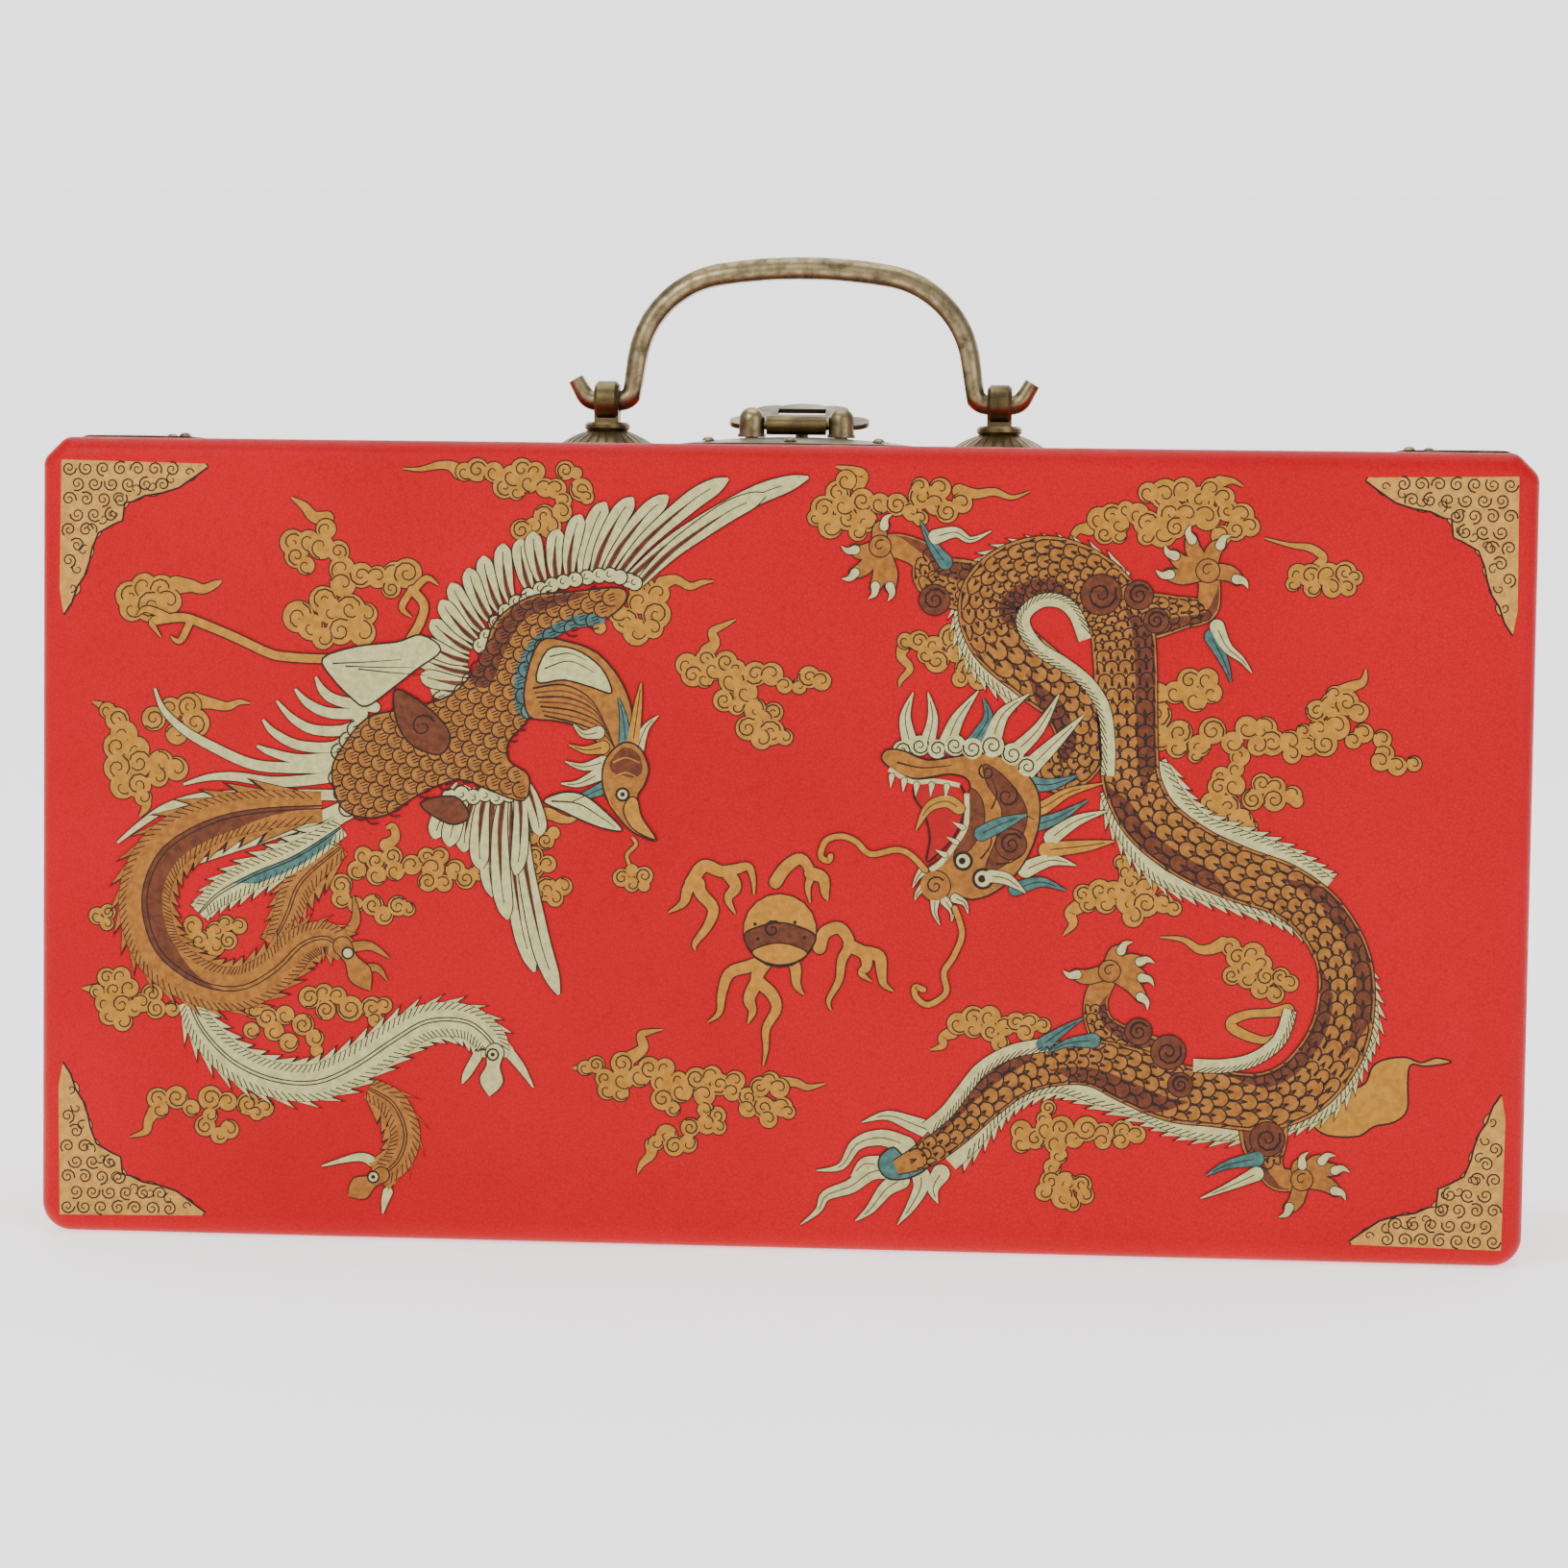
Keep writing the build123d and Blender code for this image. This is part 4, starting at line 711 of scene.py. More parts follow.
    cloud([(25.3, 123.2, 1.6), (28, 123.3, 2, 1), (31, 122.5, 1.8), (34.6, 124.2, 2.6, -1), (35.5, 121.3, 2.2),
        (31.6, 119.4, 2.4, 1), (29.3, 120.5, 1.6), (37.6, 118, 2.3, -1), (36.3, 115.8, 1.6), (40, 115.7, 2),
        (43, 115.5, 1.5)], [(25.2, 122.5, 1.3), (24.5, 120.2, .9), (26.3, 117.8, .7), (24.6, 115.5, .5),
        (24.2, 114, .12)])
    cloud([(63.3, 148, 2.3), (65.8, 148.6, 2.4, 1), (68.6, 150, 1.6), (64.5, 145, 2, -1), (67.3, 144.7, 1.5),
        (67.3, 147, 2), (71, 149, 2.2), (72.8, 147.2, 2.6, 1), (76.3, 153, 3, -1), (73, 153.3, 2),
        (80, 154, 2.4), (83.2, 151.8, 2.8, 1), (85.5, 154, 2.3), (77.5, 149.2, 2.8, -1), (80.8, 149, 2.4),
        (75.8, 145.5, 3), (78.5, 146.5, 2.2, 1), (72.7, 144.6, 1.7), (84.6, 148.6, 2.6), (88.6, 150, 2.2, -1),
        (88, 152.5, 2), (91.5, 149, 2.4), (93.2, 146.8, 1.9), (90.3, 146.2, 2.2, 1), (87.5, 145, 2)],
        [(61.5, 146, 1.3), (59.3, 145.8, .8), (58.2, 144, .5), (59.2, 142.8, .15)], [(87, 155.6, 1.2),
        (89.5, 155.8, .5), (91.5, 154.8, .2)])
    cloud([(102.8, 137.6, 2), (105.2, 137.3, 2.3, 1), (108.8, 137.5, 2.4), (112, 138, 2.2, -1), (114, 137, 1.5),
        (105.6, 134.8, 1.7), (109.5, 134.9, 1.9), (112.6, 135, 1.6), (101.8, 135.6, 1.4)], [(106.5, 139.2, 1),
        (107.6, 141, .8), (105, 142.8, .7), (101, 143.3, .4), (96, 144.6, .12)])
    cloud([(68.5, 113.5, 2.8, 1), (65.8, 116, 1.8), (71.5, 112, 2.4), (75.3, 109.3, 3, -1), (75.5, 113.5, 2.2),
        (79, 113.8, 2.2), (81.8, 116.2, 2.4, 1), (85.3, 116.5, 2.2), (86.3, 113.8, 2), (83, 112.5, 2.4),
        (71.5, 106, 3.2, 1), (76, 104.8, 2.6), (80, 105.8, 2.5, -1), (79.5, 102.8, 2), (84, 103.3, 2.2),
        (83.2, 101.3, 1.4), (86.5, 106.3, 2.6, 1), (90.5, 104, 2.2), (93.3, 107, 2.3), (97, 107, 2.2),
        (98.3, 104.2, 2.6, -1), (95.5, 103.5, 2), (102, 104.3, 2.3), (102.3, 101.9, 1.8), (105.3, 103.6, 2),
        (108.7, 104.1, 2.5, 1), (104.5, 106.5, 1.4), (107.5, 107, 2), (111, 107.5, 2.6), (107, 110.6, 2.1, 1),
        (110, 111.8, 2.4), (112.8, 112.3, 2.5, -1), (115.2, 110.5, 2), (110.5, 114, 1.6), (116.3, 106.3, 1.9),
        (114.3, 104.8, 1.6), (120, 105.2, 1.8), (120.5, 102.3, 1.9), (119.8, 100.8, 1.9), (123, 99.9, 1.9),
        (126.3, 100.4, 1.5)], [(111.8, 114.5, 1.3), (114, 115.6, 1), (116, 116.5, .7), (116.5, 119, .15)])
    cloud([(92, 101.3, 2), (91.3, 98.8, 1.6), (88.5, 97.3, 1.9), (88, 95.2, 2.2, 1), (91, 95.5, 2.2),
        (96.5, 96, 2, -1), (99.3, 95.3, 1.9), (94.7, 92.8, 2.1, 1), (99, 92.8, 2.3, -1), (102.6, 93.8, 1.8),
        (103.4, 92.6, 1.3), (90, 91.3, 2.3, -1), (86.5, 92, 2), (88, 89.6, 2), (92.5, 88.5, 2.4),
        (94.2, 87.2, 1.6)])
    cloud([(61.5, 73.3, 1.9, 1), (64.8, 74, 2.3, -1), (67.5, 74, 2), (70.8, 75.8, 2.4, 1), (74, 75, 2.2),
        (66, 71.5, 2), (62.5, 71.3, 1.6), (70.5, 71.8, 2.4), (74, 71.6, 2.6, -1), (77.5, 71.8, 2),
        (79.6, 70.8, 1.5), (71.5, 69, 2.1), (69, 79.8, 1.5), (70, 78, 1.5)], [(61, 71, 1.4), (59, 69.5, 1.1),
        (59.6, 67.3, .8), (57.7, 65, .15)])
    cloud([(91, 63.3, 1.9), (92.3, 61.3, 2.2, 1), (95.5, 62, 2.3), (97.3, 60, 1.9), (94.5, 59.5, 2),
        (91.3, 57.6, 1.8, -1), (94.3, 57, 1.9), (97, 55, 1.9), (98, 57.5, 1.9, 1), (101, 57.6, 1.8, -1),
        (102.8, 56.3, 1.7), (100, 54, 1.7)], [(89.5, 64, 1.3), (87, 62.8, 1), (84.5, 62.8, .8),
        (81.5, 64.6, .5), (77, 65, .12)], [(102.5, 51, 1.2), (99, 50.3, .8), (95, 50, .8), (91.8, 48.8, .9),
        (91.5, 47.3, 1), (94.5, 45.6, .9), (98, 44.8, .7), (99.8, 45.8, .3)])
    patch("gold", 1, [(109, 30), (110, 33), (114, 35), (118, 36.5), (119.5, 40), (122, 41.5), (126, 42),
        (129, 41), (132, 42), (135, 41.2), (130, 40.3), (127, 40.5), (126.5, 37), (126.5, 31.5), (124, 29),
        (120, 28), (117, 26), (111, 26), (108, 28)])
    cloud([(37, 46.8, 2.2), (40, 48, 2.4, 1), (43.3, 48.3, 2.2), (43.6, 45.4, 2, -1), (46.5, 46.5, 1.9),
        (48.6, 47.3, 2, 1), (51.5, 47.3, 1.9), (54, 46.8, 1.5), (50.5, 45.3, 1.7), (45.5, 43, 1.8),
        (40, 45.8, 1.8)], [(36, 45, 1.2), (34, 44, .9), (34, 42.3, .7), (31.5, 41.4, .15)])
    cloud([(55.3, 30.3, 1.5, 1), (54.5, 28, 1.5), (50, 25.5, 2.1), (50, 23, 1.9), (52.8, 24, 2.1, 1),
        (55, 26, 2.2), (58, 26.3, 2.4, -1), (57, 23.3, 2.3), (60.5, 24.3, 2), (63, 26.2, 2.5, 1),
        (66.5, 25.5, 2), (66.3, 23.8, 1.6), (70.3, 26, 2.2, -1), (73, 25.3, 1.8), (70, 24, 1.6),
        (57.5, 20.7, 1.7), (56.3, 18.3, 1.7), (56, 15.5, 2.1, 1), (54.8, 13.3, 1.8), (59, 15.3, 2.1),
        (62.3, 15, 1.9, -1), (63, 12.8, 1.7), (58.5, 12.3, 2.3), (60.5, 11, 1.5)])
    cloud([(-38, 36.2, 1.5), (-35.8, 36.9, 1.7, 1), (-34, 34.2, 1.9, -1), (-30.5, 37.3, 2.3, 1),
        (-33.5, 31.8, 1.9), (-30.8, 31.3, 1.7), (-30.5, 34, 2.3), (-27, 34.8, 2.2), (-25, 36.4, 2.3, -1),
        (-21.8, 36.6, 1.9), (-22.5, 33.8, 2.2), (-19, 34.3, 1.6), (-22.3, 30.3, 2.3, 1), (-20.2, 28.3, 1.5),
        (-18.5, 32, 2.3), (-15.5, 34.6, 2.2, -1), (-12.3, 35.2, 2), (-10.8, 33.5, 2.2, 1), (-7.6, 34.3, 2),
        (-8.2, 32, 1.8), (-13.8, 31.3, 2.2), (-13.6, 28.3, 1.6), (-11.2, 27.2, 1.8, 1), (-13.3, 25.3, 2),
        (-10.8, 24.8, 1.5), (-16.6, 24.6, 1.9, -1), (-21.4, 23, 2.1), (-19.8, 20.8, 2.1, 1), (-17, 21.3, 1.8),
        (-23.5, 21.3, 1.5), (-5, 31, 2, 1), (-5, 28.7, 1.8), (-2.6, 33.2, 2, -1), (-.5, 34.5, 1.8),
        (1.3, 33, 2), (-1.8, 29, 2.2, 1), (-.8, 26.7, 1.8), (2, 29.2, 2), (3.2, 28.2, 1.4)],
        [(-28.8, 38.5, 1.3), (-26.3, 40.5, 1), (-26.8, 43, .8), (-25, 43.8, .5), (-22.5, 44.3, .12)],
        [(-24.5, 21, 1.2), (-24.5, 19, 1), (-26.3, 17, .6), (-27.2, 15, .12)], [(1.5, 34.2, 1.1),
        (4.5, 34.2, .8), (7, 33.3, .6), (10.5, 34.1, .12)], [(-37.5, 36.2, 1.2), (-40.5, 36.1, .2)])
    cloud([(-125.4, 27.9, 2.2, 1), (-125, 25.8, 1.8), (-121.5, 28.3, 2.3, -1), (-118.5, 26.2, 1.7),
        (-114.5, 28.3, 2.5, 1), (-111, 27.7, 1.9), (-106.8, 27.3, 2.3, -1), (-103.3, 26.6, 1.8),
        (-105, 25.5, 1.5), (-115.6, 22.6, 2.1, 1), (-114.6, 24.8, 1.5), (-112.7, 20.7, 1.7), (-110.6, 22, 1.9)],
        [(-126, 25.5, 1.3), (-127.3, 23.3, .9), (-127.8, 21.2, .7), (-131, 20, .12)])
    cloud([(-138, 49.6, 1.4), (-136, 52.5, 1.9, 1), (-133, 52.8, 1.9), (-134.5, 50, 2, -1), (-131.3, 50.5, 1.9),
        (-136.3, 47.3, 2.1), (-133, 47, 2.3, 1), (-135.5, 44.8, 2), (-132.7, 43.6, 2), (-130.5, 46.3, 1.7),
        (-126.6, 49.3, 2.1, -1), (-128.7, 47.5, 1.9), (-125.8, 46.3, 2, 1), (-122.4, 46.3, 1.5)],
        [(-137.8, 50, 1.2), (-141, 50.2, .2)])
    cloud([(-94.3, 49.3, 2.2, 1), (-91.3, 50.3, 1.8), (-88.5, 49.8, 1.7), (-91, 46.8, 2, -1),
        (-86, 47.2, 2.6, 1), (-81.5, 47.5, 2.2, -1), (-79, 48, 1.6), (-80.8, 45, 1.5), (-103, 45, 2.2, 1),
        (-99.3, 45.6, 1.9), (-105.8, 46.5, 1.7), (-106.2, 42.3, 1.6), (-101.5, 42.3, 2), (-95.6, 43.7, 2.2, -1),
        (-98.5, 40, 1.9), (-93.2, 41, 1.8), (-92.8, 38.5, 1.3)])
    cloud([(-123, 63, 2, 1), (-120, 60.5, 1.7), (-118.3, 63.5, 1.9), (-117, 60.3, 2.3, -1), (-113.5, 62.3, 2),
        (-113.8, 59.3, 2), (-111, 60.5, 1.8, 1), (-111.5, 64, 1.6), (-108.8, 63.5, 1.6)])
    cloud([(-88, 72.3, 2.2, 1), (-88, 69.5, 1.9), (-84.8, 75.3, 1.9), (-83.5, 78.3, 1.8), (-80.9, 77.3, 2, -1),
        (-77.6, 78.3, 2, 1), (-80.8, 74.4, 2), (-77, 75.3, 1.9), (-73.6, 76.6, 2), (-85, 68.3, 1.6),
        (-81.5, 68.3, 2.1, -1), (-79.3, 66.2, 1.9), (-76.4, 68.2, 2, 1), (-74.3, 67.6, 1.4),
        (-70.6, 78.3, 1.8, 1), (-67.8, 78.5, 1.7), (-69.3, 76, 2.3), (-70.3, 73.3, 2, -1), (-67, 73, 1.7),
        (-64.7, 75.8, 2), (-62.6, 74, 2, 1), (-60, 75.5, 1.8)], [(-79, 80.5, 1.2), (-77, 82, .9),
        (-77.5, 84.3, .7), (-78.8, 84, .3)])
    cloud([(-48.8, 79, 1.8, 1), (-48.8, 76.5, 2, -1), (-46, 77.3, 1.7), (-49.3, 73.8, 1.7),
        (-46.3, 72.2, 2.4, 1), (-42.8, 72.8, 1.8), (-44.5, 70.4, 1.7), (-48.3, 70.8, 1.6), (-49.5, 83, 1.8),
        (-46.5, 82, 1.8, -1), (-44.9, 83.6, 1.3)], [(-49.8, 86, 1.5), (-46.5, 87.5, 1.2), (-43.5, 86.5, .9),
        (-41.5, 86.3, .6), (-39.3, 87.3, .12)])
    cloud([(-31, 74.8, 1.8, 1), (-29, 76.3, 1.3), (-26.5, 75.3, 1.8, -1), (-29, 73.5, 1.5), (-26.5, 73.3, 1.2)],
        [(-29, 83, .3), (-28.2, 81.5, .35), (-30, 79.5, .35), (-29.5, 77.5, .3)])
    cloud([(-138, 65, 1.7), (-135.8, 65.8, 1.6, 1), (-136, 63.5, 1.4)])


def print_pearl():
    """The flaming pearl between the two creatures."""
    flames = [[(1, 64), (1, 60.5), (-.5, 58)], [(-1, 59), (-5, 57.5), (-9, 56), (-10.5, 52), (-11, 48),
        (-13.3, 46)], [(-2, 58), (-3.5, 55), (-.5, 52), (.5, 49), (-1.5, 45), (-1.5, 41), (-2, 37.5)],
        [(-3.5, 54.5), (-5, 51), (-4.3, 48.5), (-5.2, 46)], [(1, 60), (4, 58), (4.5, 54), (6, 52)],
        [(-15.5, 74), (-17.5, 73), (-18.5, 70), (-21.5, 68)], [(-15.5, 74), (-15, 72), (-12.5, 69),
        (-13.5, 65.5), (-16, 62), (-16, 60.5)], [(-17, 74), (-14.5, 77.5), (-11, 76.5), (-8, 77), (-5.5, 77.5),
        (-4.5, 75), (-4.3, 72)], [(-9.5, 76), (-8, 73.5), (-9.5, 71), (-8, 68)], [(0, 74.5), (2, 77.5),
        (5, 79.3), (7, 76.5), (6.5, 73.5), (7, 70.5)], [(7, 76.5), (9.5, 75.5), (10, 72.5), (10.5, 71)],
        [(9, 61.5), (10, 64.5), (13, 65.5), (15, 62.5), (13.5, 59), (13, 55), (11, 51), (11.5, 49)], [(15, 62),
        (18, 60.5), (18.5, 58), (17.5, 56.5), (19.5, 55)], [(18, 60.8), (21, 60), (21.5, 57), (22, 54.5),
        (24, 53)],]
    for points in flames:
        limb("gold", 40, thinning(points, 1.1, 0.15, 2))
    spot("gold", 43, 1, 64.8, 7.3)
    patch("brown", 45, [(-6.1, 64), (-3, 65.6), (1, 66.4), (5, 65.6), (8.1, 64), (7.4, 61.4), (4.6, 58.6),
        (1, 57.7), (-2.6, 58.6), (-5.4, 61.4)])
    patch("gold", 46, [(-4.6, 60.4), (-2, 61.8), (1, 62.3), (4, 61.8), (6.6, 60.4), (4.4, 58.6), (1, 57.9),
        (-2.4, 58.6)], rim=0.2)
    scroll(47, -.5, 65, 1.9, 0.6, 1, 0.5)
    for x, z in ((-4, 66), (4, 66.5), (6, 63.5), (-3.4, 63)):
        disc("ink", 47, x, z, 0.4)


def print_dragon():
    """The dragon on the right: tail flames, legs, the scaled coils with their fins, and the head."""
    body = Band([(52, 98, 4), (58, 98.5, 4.6), (61, 104, 5.2), (58, 112, 5.6), (52, 117, 5.8), (44, 124, 6),
        (42, 131, 6.2), (46, 136, 6.3), (53, 138, 6.4), (60, 136, 6.4), (65, 132, 6.3), (68, 127, 6.3),
        (69, 120, 6.2), (69.5, 110, 6), (70, 102, 5.8), (71, 95, 5.7), (75, 88, 5.6), (83, 82, 5.5),
        (92, 78, 5.4), (101, 75, 5.2), (108, 70, 5.2), (113, 62, 5.3), (114, 53, 5.6), (112, 44, 6),
        (106, 36, 6), (98, 32.5, 5.7), (88, 33, 5.6), (80, 34, 5.8), (72, 37, 5.6), (64, 39.5, 4.6),
        (56, 39, 4.2), (49, 36.5, 4), (42, 31, 3.8), (37, 26, 3.5), (31, 20.5, 2.6), (25, 17.5, 1.4)])
    for points in ([(32, 25), (28, 26.5), (23, 28), (18, 26.5)], [(27, 22), (22, 23.5), (17, 22), (14, 17.5),
            (9, 16.5)], [(24, 17), (20, 16.5), (16, 13.5), (11, 11.5), (9.5, 8.5), (6, 5.5)],
            [(21, 18), (18.5, 18), (16, 15.5)], [(26, 15), (23, 13), (20, 9), (17, 6.5)], [(30, 16), (30, 13.5),
            (28, 9.5), (25.5, 6)], [(34, 16.5), (32.5, 13.5), (33.5, 10.5)]):
        lock(40, thinning(points, 1.7, 0.1, 1.5))
    patch("teal", 43, [(21.5, 17.5), (23.5, 15.2), (27.5, 15.4), (31, 17.4), (29, 19), (26.4, 20), (24.4, 21.6),
        (22, 20)])
    fins = (([(66, 94), (68, 88), (72, 82), (77, 77), (84, 74.5), (92, 72.5), (100, 70.5), (106, 67.5),
        (111, 63.5), (115, 59)], -1), ([(117, 60), (118, 55), (119, 48), (117, 43), (115, 38), (111, 32),
        (105, 29), (98, 27), (88, 26), (80, 27.5), (74, 30), (64, 33), (57, 35), (50, 33), (45, 29), (41, 23.5),
        (36, 18.5)], 1), ([(69, 136), (60, 141), (52, 142), (43, 140), (38, 135), (36.5, 128), (38.5, 121),
        (43, 116), (49, 112)], -1), ([(76, 100), (80, 93), (85, 88), (93, 85), (100, 82.5), (106, 79),
        (110, 76)], 1),)
    for points, side in fins:
        fin = Band([(x, z, 1.5) for x, z in points])
        for edge in (-1, 1):
            fin.saw("pale", 44, edge, 0.0, 0.97, 1.5 if edge == side else 0.8, 2.6)
        fin.fill("pale", 45, 0.15)
        fin.hatch(47, side, 0.0, 0.98, 1.3, 1.8)
    for points in ([(66, 97), (66, 103), (65, 110), (62, 115), (57, 119), (52, 122), (49, 126), (49, 129),
            (52, 131.5), (56, 131.5), (59, 129), (61, 124)], [(103, 51), (101, 45), (96, 41), (90, 39.5),
            (84, 39.5)], [(55, 43), (48, 41.5), (42, 38), (38, 33), (35, 29), (31, 25.5)]):
        belly = Band([(x, z, 1.3) for x, z in points])
        belly.fill("pale", 52, 0.2)
        belly.hatch(53.5, 1, 0.0, 1.0, 1.1, 2.2)
    for points, scaled in (([(42, 134, 4.6), (36, 134.6, 5), (31, 136, 4.2), (28.6, 140, 2.8), (24, 142, 2.4),
            (20, 142, 2.2)], 0.6), ([(68, 128, 5), (75, 129, 4.4), (80, 129.6, 3.2), (84.6, 130.4, 2.4),
            (85.4, 134, 2.1), (85, 138, 2)], 0.6), ([(76, 40, 5), (70, 43, 4), (65.4, 47, 2.8), (64.4, 52, 2.3),
            (66.4, 57, 2.2)], 0.7), ([(98, 30, 5), (98.4, 24, 4.4), (99.4, 19.6, 2.8), (101.6, 17, 2.3),
            (106, 17, 2)], 0.5)):
        leg = Band(points)
        leg.fill("ochre", 46)
        leg.strip("brown", 47.2, -0.9, -0.2, 0.0, 0.85)
        leg.scales(47.6, 2.4, 0.05, scaled)
    foot(50, (20, 142), [(13.5, 141), (14, 135.5), (19, 132.5), (22.5, 132.5), (21, 147.5)], 1.4)
    foot(50, (85, 138), [(77, 141.5), (76, 137), (81, 145.5), (88, 144.5), (92.2, 136)], 1.5)
    foot(50, (67, 58), [(59, 57), (70, 63.5), (74.5, 60.5), (75, 56.5), (74.5, 52)], 1.4)
    foot(50, (106, 17), [(106, 21.5), (111, 22), (114, 19.5), (114, 14.5), (103, 10)], 1.4)
    body.fill("ochre", 48)
    for start, end, low, high in ((0.02, 0.12, 0.25, 0.95), (0.13, 0.27, -0.95, -0.3), (0.3, 0.44, 0.3, 0.95),
            (0.42, 0.52, -0.95, -0.25), (0.54, 0.66, 0.35, 0.95), (0.6, 0.74, -0.95, -0.45),
            (0.76, 0.86, 0.2, 0.95), (0.86, 0.97, -0.95, -0.3)):
        body.strip("brown", 49.4, low, high, start, end)
    body.scales(50, 3.1, 0.0, 0.985, -0.9, 0.9, -1, 0.34)
    for x, z, radius, hand in ((31, 131.5, 3.0, 1), (64, 133, 4, -1), (71.5, 133, 2.8, 1), (73, 46, 2.6, 1),
            (79, 42, 3.4, -1), (81.5, 35.5, 2.4, 1), (99, 25, 3.4, -1), (75, 128, 2.4, 1)):
        shoulder(51, x, z, radius, hand)
    for points, ink in (([(31, 144), (35, 145), (38, 143.5), (42, 145.3)], "pale"), ([(87, 127), (89, 123),
            (92, 120.5), (94, 118)], "pale"), ([(86, 125), (88.6, 120), (90, 116)], "teal"),
            ([(54, 43), (58, 46), (62, 48.5)], "teal"), ([(64, 44), (59, 43.4), (55, 41.4)], "teal"),
            ([(97, 18), (92, 15.5), (86, 12.8)], "pale"), ([(97, 21), (91, 19.6), (87, 17.4)], "teal"),
            ([(33, 139), (30, 143), (28, 147)], "teal")):
        lock(52, thinning(points, 1.3), ink)
    print_dragon_head()


